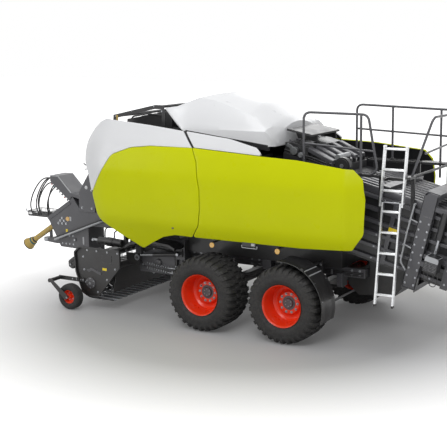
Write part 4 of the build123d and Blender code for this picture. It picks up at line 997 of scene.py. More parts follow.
def make_rails():
    """Handrails with their posts and feet, and a grating on brackets at each side."""
    rail = Form("grey", "black")
    r, y = 0.017, 0.85
    rail.pipe((
        -0.7, y, 2.33, -0.7, y, 3.12, -1.65, y, 3.12, -1.74, y, 2.64, -1.79, y, 2.4, -1.7, y, 2.325, -1.56, y, 2.325,
    ), r, 14, None, 0.11)
    rail.pipe((
        -0.72, -y, 2.33, -0.72, -y, 3.12, -2.5, -y, 3.08, -2.52, 0.75, 3.11, -2.24, 0.75, 2.33,
    ), r, 14, None, 0.1)
    for x, post_y, z0, z1 in ((-1.55, y, 2.33, 3.12), (-1.3, -y, 2.33, 3.108), (-2.05, -y, 2.1, 3.092)):
        rail.rod((x, post_y, z0), (x, post_y, z1), r, 14)
    rail.pipe((-0.7, y, 2.7, -1.73, y, 2.64), 0.0145, 12)
    rail.pipe((-0.72, -y, 2.76, -2.39, -y, 2.7, -2.42, 0.75, 2.64), 0.0145, 12, None, 0.1)
    for _ in rail.sides():
        rail.box(-1.82, -0.68, 0.645, 0.88, 2.3, 2.304, "black")
        for x in steps(-1.8, 0.064, 18):
            rail.box(x, x + 0.006, 0.65, 0.875, 2.304, 2.331, "black")
        for bar in steps(0.655, 0.044, 6):
            rail.box(-1.815, -0.685, bar - 0.002, bar + 0.002, 2.304, 2.33, "black")
        for edge in (0.645, 0.876):
            rail.box(-1.82, -0.68, edge, edge + 0.004, 2.3, 2.334, "black")
        for x, z in ((-0.72, 2.09), (-1.78, 1.7)):
            rail.box(x - 0.025, x + 0.025, 0.68, 0.712, z, 2.31, "black")
        rail.box(-0.745, -0.695, 0.64, 0.69, 2.09, 2.15, "black")
        rail.box(-2.26, -2.21, 0.68, 0.712, 1.75, 2.334, "black")
        rail.box(-2.27, -2.21, 0.68, 0.88, 2.3, 2.334, "black")
    rail.box(-2.27, -1.81, -0.88, -0.69, 2.3, 2.334, "black")
    rail.axle(-2.235, 2.317, -0.7, 0.7, r, 14, "black")
    for x, post_y in ((-0.7, y), (-0.72, -y), (-1.3, -y), (-1.55, y)):
        rail.rod((x, post_y, 2.333), (x, post_y, 2.345), 0.032, 16, "black")
    rail.make("platform_handrails", "platform_rails")


def make_knotters():
    """The knotter stack under its cover: curved guide fins, beams, a fan drum and hoses."""
    deck = Form("black", "grey", "light", "zinc", "steel")
    deck_low, deck_high = 2.23370, 2.40620  # the channel's top at x -1.00 and -0.25
    deck.prism((
        -0.25, deck_high + 0.004, -1, deck_low + 0.004, -1, deck_low + 0.1, -0.25, deck_high + 0.12,
    ), -0.6, 0.6)
    deck.prism((-0.25, 2.52, -0.62, 2.43, -0.6, 2.6, -0.36, 2.66, -0.25, 2.66), -0.54, 0.54)
    fin = [(-0.3 - 0.06 * j, 2.7 - 0.012 * j - 0.014 * j * j) for j in range(7)]
    blade = fin + [(x + 0.012, z - 0.055) for x, z in reversed(fin)]
    bill = [(x + 0.01, z - 0.05) for x, z in fin] + [(x + 0.05, z - 0.09) for x, z in reversed(fin)]
    for y in steps(-0.5, 0.2, 6):
        deck.prism(blade, y - 0.008, y + 0.008, "grey")
        deck.prism(bill, y + 0.03, y + 0.045, "steel")
        deck.axle(-0.42, 2.55, y + 0.05, y + 0.12, 0.055, 20, "steel")
        deck.axle(-0.52, 2.5, y + 0.06, y + 0.11, 0.04, 6, "zinc")
        deck.axle(-0.6, 2.47, y + 0.055, y + 0.1, 0.03, 16)
    deck.axle(-0.42, 2.55, -0.58, 0.58, 0.02, 16, "steel")
    # Slanted beams over the needles' path
    for y0, y1 in ((0.42, 0.56), (0.2, 0.32), (-0.04, 0.08), (-0.3, -0.18), (-0.56, -0.44)):
        deck.prism((-0.62, 2.6, -0.99, 2.435, -0.99, 2.39, -0.62, 2.545), y0, y1, "grey")
        deck.prism((-0.62, 2.605, -0.99, 2.44, -0.99, 2.435, -0.62, 2.6), y0 + 0.02, y1 - 0.02, "grey")
    for y in steps(-0.55, 0.157, 8):
        deck.box(-0.985, -0.94, y - 0.02, y + 0.02, 2.335, 2.4)
        deck.bolt((-0.96, y, 2.4), 0.01, 0.008, (0, 0, 1))
    # Hoses along the side
    for y, up in ((0.585, 0.0), (0.57, 0.02), (0.59, 0.035)):
        line = ((-0.26, 0, 2.53), (-0.45, 0.006, 2.49), (-0.7, 0, 2.44), (-0.92, 0.004, 2.37))
        deck.pipe([(x, y + dy, z + up) for x, dy, z in line], 0.008, 8, None, 0.2)
    deck.make("knotter_stack", "knotters", 0.002)
    cover = Form("black", "grey", "zinc", place=turned(-0.455, 0.06, 2.8, math.radians(-10)))
    half = [(-0.19, 0.006), (-0.19, -0.015), (-0.2, -0.015), (-0.2, 0.012), (-0.185, 0.015)]
    cover.prism(half + [(-x, z) for x, z in reversed(half)], -0.45, 0.45)
    for y in (-0.448, 0.442):
        cover.prism((-0.2, -0.015, -0.2, 0.014, 0.2, 0.014, 0.2, -0.015), y, y + 0.006)
    for y in steps(-0.36, 0.24, 4):
        cover.prism((-0.18, 0, -0.18, 0.006, 0.18, 0.006, 0.18, 0), y - 0.012, y + 0.012, "grey")
    cover.place = None
    for y in (-0.3, 0.3):
        cover.prism((-0.64, 2.657, -0.64, 2.768, -0.275, 2.83, -0.33, 2.699), y - 0.008, y + 0.008)
    cover.make("knotter_lid", "knotter_cover", 0.002)
    # Fan drum and its motor on the channel's front
    fan = Form("black", "steel")
    for y0, y1, r, n, key in (
        (0.52, 0.6, 0.115, 40, "black"), (0.6, 0.612, 0.095, 40, "black"), (0.611, 0.622, 0.028, 16, "steel"),
    ):
        fan.axle(-1.16, 2.385, y0, y1, r, n, key)
    fan.box(-1.24, -1.08, 0.5, 0.58, 2.21, 2.3)
    fan.axle(-1.02, 2.475, 0.1, 0.45, 0.045, 24, "steel")
    for y in (0.12, 0.38):
        fan.box(-1.06, -0.99, y, y + 0.04, 2.33, 2.48)
    fan.make("fan_drum", None, 0.002)


def make_control_box():
    """Control box on its arm beside the channel, with two cable loops below it."""
    box = Form("light", "black", "grey", place=turned(-2.61, 0.905, 1.23, -SLOPE))
    case = (-0.093, -0.105, -0.093, 0.085, -0.075, 0.105, 0.075, 0.105, 0.093, 0.085, 0.093, -0.105)
    box.prism(case, -0.093, 0.088, "black")
    lid = (-0.094, 0.08, -0.076, 0.105, 0.076, 0.105, 0.094, 0.08, 0.094, 0.035, -0.094, 0.035)
    box.prism(lid, 0.086, 0.094)
    box.prism((-0.086, 0.098, -0.07, 0.1045, 0.086, 0.1045, 0.086, 0.098), -0.085, 0.085)
    for y in (-0.025, 0.02):
        box.box(-0.045, 0.045, y - 0.009, y + 0.009, 0.103, 0.1052, "black")
    for z in steps(-0.085, 0.02, 6):
        box.box(-0.08, 0.08, 0.086, 0.092, z, z + 0.008, "grey")
    box.box(-0.05, 0.05, -0.05, 0.05, -0.12, -0.1, "black")
    box.place = on_channel
    box.box(-1.52, -1.2853, WALL_Y + 0.07, 0.815, -0.24, -0.18, "grey")
    box.place = None
    for dx, drop, dy in ((0.0, 0.2, 0.0), (0.05, 0.155, 0.02)):
        loop = (
            (-2.56, 0.93, 1.145), (-2.555, 0.945, 1.06), (-2.59, 0.955, 1.145 - drop),
            (-2.66, 0.955, 1.135 - drop), (-2.695, 0.945, 1.05), (-2.675, 0.925, 1.12),
        )
        box.pipe([(x + dx, y + dy, z) for x, y, z in loop], 0.006, 8, "black", 0.08, 8)
    box.make("rear_control_box", "control_box", 0.0025)


make_channel()
make_yoke()
make_ladder()
make_rails()
make_knotters()
make_control_box()

# Drawbar, console, drive shaft and jack ------------------------------------------------------
def make_drawbar():
    """Side plates over a box beam, with the bolts, plates, slot and bent guard they carry."""
    bar = Form("grey", "light", "zinc", "plate", "black")
    outline = (
        4.44, 1.08, 4.36, 1.2, 3.99, 1.458, 3.93, 1.53, 3.77, 1.3, 2.35, 1.3, 2.35, 1.06, 3.62, 1.06, 3.62, 0.65,
        4.21, 0.66,
    )
    beam_bolts = [(x, 0.174, 1.18) for x in steps(2.48, 0.22, 5)]
    head_bolts = ((4.16, 1.145), (4.12, 1.1), (4.2, 1.1), (4.16, 1.055), (4.08, 1.055), (4.24, 1.055))
    bar.prism(outline, -0.158, 0.158)
    for _ in bar.sides():
        bar.prism(outline, 0.158, 0.17)
        bar.prism((3.62, 1.08, 3.62, 1.28, 2.42, 1.28, 2.42, 1.08), 0.168, 0.174)
        for at in beam_bolts + [(x, 0.17, z) for x, z in head_bolts]:
            bar.bolt(at, 0.014, 0.011)
        for x in steps(3.94, 0.075, 4):
            for z in (0.72, 0.86):
                bar.bolt((x, 0.17, z), 0.011, 0.01)
        for x, z, key in ((4.07, 0.93, "plate"), (3.99, 1.145, "light")):
            bar.box(x - 0.022, x + 0.022, 0.17, 0.1715, z - 0.036, z + 0.036, key)
        slot = soft_outline((3.715, 0.735, 3.745, 0.735, 3.745, 0.865, 3.715, 0.865), 0.014)
        bar.prism(slot, 0.168, 0.1712, "light")
        bar.axle(3.905, 0.8, 0.165, 0.182, 0.03, 24)
        bar.axle(3.905, 0.8, 0.18, 0.19, 0.016, 16, "zinc")
    flange = (0, 0, 0, 0.075, 0.75, 0.075, 0.8, 0.066, 1, 0.066, 1, 0)
    bar.lathe(flange, (4.3, 0, 0.985), (4.43, 0, 0.985), 32, "black")
    for y, z in around(8, 0.058):
        bar.bolt((4.402, y, 0.985 + z), 0.006, 0.006, (1, 0, 0))
    hoop = ((3.25, 0.15, 1.18), (3.25, 0.29, 1.18), (4.26, 0.29, 0.79), (4.26, 0.15, 0.79))
    bar.pipe(hoop, 0.017, 16, "light", 0.09, 8)
    bar.pipe([(x, y - 0.004 if y > 0.2 else y, z + 0.032) for x, y, z in hoop], 0.014, 12, "black", 0.09, 8)
    for x in (3.45, 3.8, 4.12):
        z = 1.18 - (x - 3.25) * 0.386
        bar.box(x - 0.012, x + 0.012, 0.168, 0.288, z - 0.006, z + 0.004, "black")
    bar.make("drawbar_beam", "drawbar", 0.003)
    eye = Form("steel", "grey", "zinc")
    saddle = (4.2215, 0.68, 4.287, 0.8, 4.48, 0.77, 4.59, 0.752, 4.59, 0.688, 4.4, 0.675)
    eye.prism(saddle, -0.06, 0.06, "grey")
    eye.lathe((
        0, 0.026, 0, 0.06, 0.14, 0.07, 0.86, 0.07, 1, 0.06, 1, 0.026, 0.86, 0.0262, 0.14, 0.0262, 0, 0.026,
    ), (4.63, 0, 0.685), (4.63, 0, 0.755), 48)
    for k in range(3):
        for y in (-0.035, 0.035):
            eye.bolt((4.315 + 0.075 * k, y, 0.794 - 0.0125 * k), 0.01, 0.008, (0.16, 0, 0.99))
    eye.prism((4.54, 0.74, 4.58, 0.74, 4.58, 0.8505, 4.54, 0.8765), -0.02, 0.02, "grey")
    eye.make("hitch_ring", "hitch_eye", 0.002)


CAP_COLOURS = ("redcap", "black", "white", "black", "teal", "redcap", "black")


def make_console():
    """Hose console: a slanted housing with its coupling row, the column behind it, and the tray."""
    rack = Form("grey", "light", "black", "zinc", "redcap", "teal", "white")
    housing = (3.905, 1.56, 4.195, 1.85, 4.366, 1.85, 4.366, 1.75, 3.99, 1.458, 3.93, 1.53)
    edge = (3.905, 1.56, 4.195, 1.85, 4.366, 1.85, 4.366, 1.838, 4.202, 1.838, 3.92, 1.556)
    column = (3.44, 1.3, 3.76, 1.3, 3.76, 1.61, 3.51, 1.985, 3.44, 1.985)
    rack.prism(housing, -0.186, 0.186)
    for _ in rack.sides():
        rack.prism(edge, 0.18, 0.192, "light")
        rack.prism(column, 0.19, 0.206)
        for x, z in ((3.5, 1.36), (3.7, 1.36), (3.5, 1.66)):
            rack.bolt((x, 0.206, z), 0.012, 0.009)
        rack.bolt((3.6, 0.206, 1.7), 0.02, 0.012, key="white")
        y = 0.198
        rack.pipe((
            3.455, y, 1.9, 3.455, y, 2, 3.5, y, 2.055, 3.6, y, 2.065, 3.64, y, 2.095,
        ), 0.009, 10, "black", 0.04)
        rack.pipe((3.5, 0.15, 1.95, 3.58, 0.15, 2, 3.66, 0.15, 1.99), 0.008, 10, "black", 0.03)
    rack.box(3.44, 3.76, -0.206, 0.206, 1.3, 1.316)
    rack.box(3.44, 3.446, -0.19, 0.19, 1.316, 1.9, "black")
    for x, z in ((3.47, 1.95), (3.6, 1.74)):
        rack.axle(x, z, -0.19, 0.19, 0.014, 14, "black")
    rack.prism((3.744, 1.5, 3.744, 1.56, 3.93, 1.585, 3.93, 1.535), -0.206, 0.206)
    # Couplings along the lower front edge, each with its cap
    out = Vector((0.613, 0, -0.79))
    for i, t in enumerate((0.1, 0.24, 0.38, 0.52, 0.66, 0.8, 0.94)):
        at = Vector((3.99 + (4.366 - 3.99) * t, 0, 1.458 + (1.75 - 1.458) * t))
        for j, y in enumerate((-0.145, -0.05, 0.05, 0.145)):
            p = at + Vector((0, y, 0))
            rack.rod(p - out * 0.01, p + out * 0.018, 0.017, 6, "black")
            rack.rod(p + out * 0.018, p + out * 0.034, 0.013, 12, "zinc")
            rack.rod(p + out * 0.034, p + out * 0.052, 0.0155, 12, CAP_COLOURS[(i + 2 * j) % 7])
    for x, y, z in sorted((route[0] for route in HOSES.values()), reverse=True):
        x -= 0.001
        rack.rod((x - 0.06, y, z), (x - 0.014, y, z), 0.0165, 6, "zinc")
        rack.rod((x - 0.018, y, z), (x, y, z), 0.0145, 12, "black")
    rack.prism((3.96, 1.4, 4.44, 1.085, 4.47, 1.13, 4.47, 1.142, 4.01, 1.442), 0.17, 0.18)
    # Tray of bent sheet with open slots, and its hook
    for _ in rack.sides():
        rack.box(4.47, 4.9, 0.157, 0.165, 1.126, 1.15, "black")
        rack.pipe((4.474, 0.161, 1.213, 4.896, 0.161, 1.213), 0.005, 8, "black")
        for x in steps(4.476, 0.03, 15):
            rack.box(x - 0.003, x + 0.003, 0.158, 0.164, 1.14, 1.214, "black")
    for y in steps(-0.15, 0.0273, 12):
        rack.box(4.47, 4.9, y - 0.007, y + 0.007, 1.126, 1.142, "black")
        for x in (4.47, 4.892):
            rack.box(x, x + 0.008, y - 0.003, y + 0.003, 1.13, 1.214, "black")
    for x in (4.47, 4.68, 4.885):
        rack.box(x, x + 0.015, -0.165, 0.165, 1.126, 1.14, "black")
    for x in (4.474, 4.896):
        rack.pipe((x, -0.161, 1.213, x, 0.161, 1.213), 0.005, 8, "black")
    rack.pipe((4.88, 0, 1.145, 4.9, 0, 1.159, 5.081, 0, 1.159, 5.081, 0, 1.208), 0.0105, 12, "zinc", 0.03)
    rack.make("hose_console", "hose_rack", 0.0018)


SHAFT_LEN, SHAFT_DROP = 0.73, math.radians(33)


def make_shaft():
    """Guarded drive shaft: ribbed tube, bearing rings, flared guard with the joint inside."""
    shaft = Form("yellow", "black", "teal", "steel")
    start, way = Vector((4.46, 0, 0.985)), Vector((math.cos(SHAFT_DROP), 0, -math.sin(SHAFT_DROP)))
    left = Vector((0, 1, 0))
    across = way.cross(left)

    def turn(key, *profile, n=48):
        shares = [(s / SHAFT_LEN, r) for s, r in points(profile, 2)]
        shaft.lathe(shares, start, start + way * SHAFT_LEN, n, key)

    turn(
        "yellow", 0, 0.03, 0, 0.046, 0.56, 0.046, 0.565, 0.06, 0.6, 0.0665, 0.64, 0.078, 0.7, 0.0955, 0.705, 0.099,
        0.716, 0.102, 0.716, 0.096, 0.7, 0.09, 0.64, 0.072, 0.6, 0.06, 0.57, 0.036, 0, 0.03,
    )
    for s in (0.02, 0.17, 0.32, 0.47):
        turn("yellow", s, 0.045, s, 0.0475, s + 0.012, 0.0475, s + 0.012, 0.045, n=40)
    turn("black", 0.535, 0.045, 0.535, 0.052, 0.56, 0.054, 0.56, 0.045)
    turn("teal", 0.585, 0.062, 0.585, 0.0705, 0.606, 0.076, 0.606, 0.066)
    turn("black", 0.714, 0.094, 0.714, 0.104, 0.73, 0.105, 0.73, 0.095, 0.714, 0.094)
    for c, s in around(12, 0.083):
        off = left * c + across * s
        shaft.rod(start + way * 0.6 + off * 0.82, start + way * 0.705 + off * 1.16, 0.0025, 6)
    turn("steel", 0.56, 0, 0.56, 0.03, 0.66, 0.03, 0.66, 0.024, 0.71, 0.024, 0.71, 0, n=24)
    for v in (left, across):
        cross = start + way * 0.645
        shaft.rod(cross - v * 0.05, cross + v * 0.05, 0.013, 16, "steel")
        for sign in (1, -1):
            p = start + way * 0.62 + v * 0.043 * sign
            shaft.rod(p, p + way * 0.055, 0.014, 12, "steel")
    shaft.rod((4.43, 0, 0.985), (4.485, 0, 0.973), 0.026, 24, "steel")
    # Loose chain that keeps the guard from turning
    for k in range(11):
        sag = Vector((0, 0.05 + 0.012 * math.sin(k * 0.9), -0.012 - 0.05 * math.sin(math.pi * k / 10)))
        a = start + way * (0.1 + 0.03 * k) + sag
        b, flat = a + way * 0.028, Vector((0, 0.006 * (k % 2), 0.006))
        shaft.pipe([a, a + flat, b, a - flat], 0.0016, 6, "steel", closed=True)
    shaft.make("drive_shaft", "pto_shaft")


JACK_X, JACK_Y = 3.72, -0.26


def make_jack():
    """Square parking jack: sleeve with its gearbox and crank, leg with pin holes, ribbed foot."""
    x, y = JACK_X, JACK_Y
    tube = Form("grey", "zinc", "black")

    def sleeve(half, wall, z0, z1):
        for a, b in ((-half, -wall), (wall, half)):
            tube.box(x + a, x + b, y - half, y + half, z0, z1)
            tube.box(x - half, x + half, y + a, y + b, z0, z1)

    sleeve(0.045, 0.0365, 0.42, 1.04)
    for z in (0.42, 0.7, 0.97):
        sleeve(0.049, 0.037, z, z + 0.03)
    tube.box(x - 0.052, x + 0.052, y - 0.052, y + 0.052, 1.04, 1.075, "black")
    tube.axle(x, 1.058, y - 0.03, y - 0.095, 0.016, 16, "zinc")
    crank = (x, y - 0.085, 1.058, x, y - 0.105, 1.058, x, y - 0.112, 1.165, x, y - 0.16, 1.17)
    tube.pipe(crank, 0.0075, 10, "zinc", 0.02)
    tube.rod((x, y - 0.135, 1.17), (x, y - 0.215, 1.172), 0.012, 14, "black")
    tube.box(x - 0.045, x + 0.045, y + 0.045, -0.17, 0.7, 1)
    for z in (0.76, 0.94):
        for dx in (-0.028, 0.028):
            tube.axle(x + dx, z, y + 0.05, y + 0.08, 0.007, 6, "zinc")
    tube.make("jack_sleeve", "jack_tube", 0.002)
    leg = Form("steel", "black")
    leg.box(x - 0.036, x + 0.036, y - 0.036, y + 0.036, 0.01, 0.66)
    for z in steps(0.1, 0.035, 9):
        leg.axle(x, z, y - 0.0363, y - 0.035, 0.009, 16, "black")
    for half_x, half_y, bend, z0, z1 in ((0.13, 0.1, 0.03, 0, 0.01), (0.11, 0.08, 0.025, 0.009, 0.016)):
        foot = (x - half_x, y - half_y, x + half_x, y - half_y, x + half_x, y + half_y, x - half_x, y + half_y)
        leg.prism(soft_outline(foot, bend, 5), z0, z1, None, "z")
    rib = ((0.054, 0.015), (0.11, 0.015), (0.11, 0.02), (0.06, 0.04))
    for sign in (1, -1):
        leg.prism([(x + sign * a, z) for a, z in rib], y - 0.004, y + 0.004)
    for sign in (1, -1):
        leg.prism([(y + sign * min(a, 0.082), z) for a, z in rib], x - 0.004, x + 0.004, None, "x")
    leg.make("jack_foot", "jack_leg", 0.0015, body="jack")


make_drawbar()
make_console()
make_shaft()
make_jack()

# Pick-up, rotor and crop roller --------------------------------------------------------------
REEL_X, REEL_Z, BANDS, PITCH = 2.83, 0.4, 17, 0.131
ROLLER_X, ROLLER_Z = 3.25, 0.64


def make_bands():
    """Formed stripper bands: a cambered strip with turned-in edges round the reel."""
    path = [(2.421, REEL_Z + 0.2455, 0, 1), (2.6, REEL_Z + 0.2457, 0, 1)]
    for turn in (math.radians(100 - 190 * k / 28) for k in range(29)):
        c, s = math.cos(turn), math.sin(turn)
        path.append((REEL_X + 0.2495 * c, REEL_Z + 0.2495 * s, c, s))
    path += [(2.6, REEL_Z - 0.2495, 0, -1), (2.421, REEL_Z - 0.249, 0, -1)]
    section = (
        (-0.042, 0.016), (-0.0405, 0.004), (-0.03, 0.0008), (0, 0), (0.03, 0.0008), (0.0405, 0.004),
        (0.042, 0.016),
    )
    form = Form("black", "zinc")
    for y0 in (PITCH * (k - (BANDS - 1) / 2) for k in range(BANDS)):
        rows = [[(x - nx * deep, y0 + y, z - nz * deep) for y, deep in section] for x, z, nx, nz in path]
        form.loft(rows, loop=False, ends=False)
        form.bolt((2.455, y0, REEL_Z + 0.2457), 0.009, 0.003, (0, 0, 1))
        form.bolt((2.455, y0, REEL_Z - 0.2495), 0.009, 0.003, (0, 0, -1))
    form.make("stripper_bands", None, 0, 30, "pickup", thick=0.0022)
    back = Form("black")
    back.prism((
        2.4205, 0.29, 2.4205, 0.645, 2.4395, 0.645, 2.4395, 0.64, 2.4265, 0.636, 2.4265, 0.298, 2.4395, 0.294,
        2.4395, 0.29,
    ), -1.075, 1.075)
    back.make("stripper_back", "pickup_bands", 0.001, body="pickup")


def make_reel():
    """Reel: tube with end discs, four tine bars and double spring tines with their coils."""
    reel = Form("black", "steel", "zinc")
    reel.axle(REEL_X, REEL_Z, -1.09, 1.09, 0.06, 32)
    reel.axle(REEL_X, REEL_Z, -1.149, 1.149, 0.0215, 20, "steel")
    for y in (-1.045, -0.524, 0.0, 0.524, 1.037):
        reel.hub(REEL_X, REEL_Z, y, y + 0.008, (0, 0, 0, 0.185, 0.5, 0.19, 1, 0.185, 1, 0), 40)
    for turn in (math.radians((row + 0.25) * 90) for row in range(4)):
        out = Vector((math.sin(turn), 0, math.cos(turn)))
        back = Vector((out.z, 0, -out.x))
        hub = Vector((REEL_X, 0, REEL_Z)) + out * 0.17

        def at(y, far, behind):
            return hub + Vector((0, y, 0)) + out * far + back * behind

        reel.rod(at(-1.045, 0, 0), at(1.045, 0, 0), 0.017, 16)
        for y in (PITCH * (k - (BANDS - 2) / 2) for k in range(BANDS - 1)):
            for side in (1, -1):
                root = y + side * 0.013
                tine = [at(root, 0.018, 0.006), at(root, 0.078, 0.006), at(y + side * 0.0165, 0.155, -0.012)]
                reel.pipe(tine, 0.0042, 8, "zinc", 0.03, 4)
                coil = [
                    at(y + side * (0.004 + 0.0012 * j), 0.0225 * math.cos(j * 1.2), 0.0225 * math.sin(j * 1.2))
                    for j in range(16)
                ]
                reel.pipe(coil, 0.0027, 6, "steel")
            reel.bolt(at(y, 0.016, 0), 0.007, 0.004, out)
    reel.make("tined_reel", "pickup_reel", 0, 40, "reel")


def spring(start, step, r, turn, count):
    """Points of a coil spring that runs from a start by steps."""
    way = [Vector(start) + Vector(step) * j for j in range(count)]
    return [p + Vector((0, r * math.cos(j * turn), r * math.sin(j * turn))) for j, p in enumerate(way)]


def make_pickup_frame():
    """Pick-up frame: cross tube, side plates with drive covers, gauge wheel arms, roller arms."""
    form = Form("black", "zinc", "grey", "plate", "steel")
    form.axle(2.38, 0.7, -1.11, 1.11, 0.0495, 32)
    form.box(2.385, 2.4, -1.075, 1.075, 0.44, 0.7)
    for y in steps(-1, 0.25, 9):
        form.prism((2.4, 0.45, 2.415, 0.45, 2.419, 0.66, 2.4, 0.69), y - 0.004, y + 0.004)
    plate = soft_outline(
        (2.25, 0.7, 2.25, 0.96, 3.02, 0.96, 3.12, 0.87, 3.1, 0.56, 2.98, 0.24, 2.9, 0.2, 2.68, 0.2),
        (0.02, 0.03, 0.04, 0.05, 0.06, 0.06, 0.03, 0.03),
    )
    inner = [(2.635 + (x - 2.635) * 0.955, 0.6 + (z - 0.6) * 0.95) for x, z in plate]
    for side in form.sides():
        form.prism(plate, 1.112, 1.116)
        rim = [[(x, y, z) for x, z in line] for line, y in ((plate, 1.112), (plate, 1.149), (inner, 1.149))]
        form.loft(rim, ends=False)
        form.box(2.42, 2.6, 1.114, 1.122, 0.745, 0.865)
        cover = (0, 0, 0, 0.085, 0.5, 0.085, 0.7, 0.06, 1, 0.055, 1, 0)
        form.hub(REEL_X, REEL_Z, 1.114, 1.148, cover, 32, "grey")
        for dx, dz in around(6, 0.07, 0.5):
            form.bolt((REEL_X + dx, 1.131, REEL_Z + dz), 0.008, 0.006)
        for x, z in points((
            2.31, 0.91, 2.5, 0.91, 2.7, 0.91, 2.88, 0.91, 2.96, 0.8, 2.95, 0.6, 2.93, 0.4, 2.7, 0.27, 2.52, 0.48,
            2.36, 0.66,
        ), 2):
            form.bolt((x, 1.116, z), 0.011, 0.009)
        form.prism((2.62, 0.58, 2.8, 0.64, 2.9, 0.6, 2.86, 0.57, 2.8, 0.6, 2.64, 0.545), 1.116, 1.126, "grey")
        # Carrier on the pivot, and the drive housing beside it
        carrier = soft_outline((2.15, 0.68, 2.15, 0.86, 2.4, 0.86, 2.4, 0.68), (0.05, 0.05, 0.01, 0.01), 5)
        form.prism(carrier, 0.752, 0.778)
        form.hub(2.2, 0.8, 0.748, 0.782, (0, 0.019, 0, 0.046, 1, 0.046, 1, 0.019, 0, 0.019), 28, "zinc")
        # Gauge wheel arm: bar along the side, cross tube, bent fork leg and axle
        form.box(2.95, 3.44, 1.122, 1.126, 0.4, 0.46)
        for z in (0.4, 0.453):
            form.box(2.95, 3.44, 1.122, 1.139, z, z + 0.007)
        for x in (2.975, 3.02, 3.1, 3.18):
            form.bolt((x, 1.126, 0.43), 0.008, 0.006)
        form.axle(3.41, 0.43, 1.122, 1.398, 0.0285, 24)
        leg = (3.44, 0.46, 3.38, 0.47, 3.06, 0.225, 3.085, 0.17, 3.13, 0.17)
        form.prism(soft_outline(leg, (0.02, 0.03, 0.025, 0.02, 0.02), 5), 1.384, 1.399)
        form.axle(GAUGE_X, GAUGE_R, 1.215, 1.3995, 0.0145, 18, "steel")
        form.bolt((GAUGE_X, 1.39, GAUGE_R), 0.013, 0)
        # Roller arm, its spring and the bracket that carries it
        arm = (2.9, 0.86, 2.96, 0.93, 3.3, 0.69, 3.29, 0.59, 3.22, 0.59)
        form.prism(soft_outline(arm, (0.02, 0.03, 0.04, 0.03, 0.03), 5), 1.062, 1.0675)
        form.prism((2.93, 0.885, 2.955, 0.915, 3.27, 0.695, 3.262, 0.665), 1.066, 1.079)
        form.box(2.905, 2.955, 1.066, 1.114, 0.865, 0.925)
        coil = spring((2.93, side * 1.095, 0.895), (0.0052, 0, -0.0036), 0.012, 1.05, 44)
        form.pipe([(x, side * y, z) for x, y, z in coil], 0.0028, 6, "zinc")
    form.box(2.52, 2.6, 1.1165, 1.1185, 0.62, 0.66, "plate")
    form.make("pickup_side_frame", "pickup_frame", 0.0015, body="pickup")


def make_roller():
    roller = Form("black", "steel")
    drum = (0, 0, 0, 0.07, 0.004, 0.078, 0.996, 0.078, 1, 0.07, 1, 0)
    roller.hub(ROLLER_X, ROLLER_Z, -1.04, 1.04, drum, 40)
    roller.axle(ROLLER_X, ROLLER_Z, -1.084, 1.084, 0.0145, 16, "steel")
    for y in steps(-0.975, 0.15, 14):
        roller.hub(ROLLER_X, ROLLER_Z, y - 0.012, y + 0.012, (0, 0.076, 0, 0.08, 1, 0.08, 1, 0.076), 40)
    roller.make("press_roller", "crop_roller", body="crop_roller")


# Axles, knuckles and fenders -------------------------------------------------------------------
KING_Y, STEER_DROP, STEER_BACK = 0.8, 0.12, 0.23
LEAVES = (0.54, 0.44, 0.35, 0.26, 0.17)  # half lengths, from the top one down
ROCKER_Z = 0.735


def make_axles():
    """Axle beams with leaf springs in U-bolts, rockers on their pins, and kingpin eyes."""
    form = Form("black", "zinc", "steel", "grey")
    for x, reach in ((AXLE_X, 0.96), (-AXLE_X, 0.738)):
        beam = (x - 0.065, 0.473, x - 0.065, 0.603, x + 0.065, 0.603, x + 0.065, 0.473)
        form.prism(soft_outline(beam, 0.014, 4), -reach, reach)
    for _ in form.sides():
        form.axle(AXLE_X, TYRE_R, 0.94, 1.13, 0.0315, 28, "steel")
        hub = (0, 0.05, 0, 0.062, 0.3, 0.062, 0.5, 0.05, 1, 0.045, 1, 0.03)
        form.hub(AXLE_X, TYRE_R, 0.955, 1.02, hub, 28)
        eye = (0, 0.0325, 0, 0.06, 0.08, 0.066, 0.92, 0.066, 1, 0.06, 1, 0.0325, 0, 0.0325)
        form.lathe(eye, (-AXLE_X, KING_Y, 0.463), (-AXLE_X, KING_Y, 0.613), 32)
        end = (-AXLE_X - 0.065, 0.48, -AXLE_X - 0.065, 0.596, 0.065 - AXLE_X, 0.596, 0.065 - AXLE_X, 0.48)
        form.prism(end, 0.725, 0.76)
        for x in (AXLE_X, -AXLE_X):
            form.box(x - 0.09, x + 0.09, 0.552, 0.648, 0.593, 0.638)
            for k, half in enumerate(LEAVES):
                top = 0.698 - 0.0118 * k
                leaf = [(x + (j / 6 - 1) * half, top) for j in range(13)]
                form.prism(leaf + [(x - (j / 6 - 1) * half, top - 0.0108) for j in range(13)], 0.555, 0.645)
            for u in (x - 0.052, x + 0.052):
                clamp = (u, 0.548, 0.585, u, 0.548, 0.712, u, 0.652, 0.712, u, 0.652, 0.585)
                form.pipe(clamp, 0.008, 10, "zinc", 0.02)
                for y in (0.548, 0.652):
                    form.rod((u, y, 0.578), (u, y, 0.594), 0.0125, 6, "zinc")
            form.box(x - 0.075, x + 0.075, 0.552, 0.648, 0.697, 0.704)
            for end in (-0.53, 0.53):
                form.axle(x + end, 0.69, 0.555, 0.645, 0.012, 14)
        rocker = soft_outline(
            (-0.19, 0.688, -0.19, ROCKER_Z, -0.06, 0.782, 0.06, 0.782, 0.19, ROCKER_Z, 0.19, 0.688), 0.02, 4
        )
        for y in (0.562, 0.625):
            form.prism(rocker, y, y + 0.013)
        form.prism([(x * 0.93, ROCKER_Z + (z - ROCKER_Z) * 0.8) for x, z in rocker], 0.574, 0.626)
        form.axle(0, 0.775, 0.542, 0.658, 0.0445, 28, "steel")
        form.bolt((0, 0.655, 0.775), 0.02, 0)
    form.make("tandem_beams", "tandem_axles", 0.002)


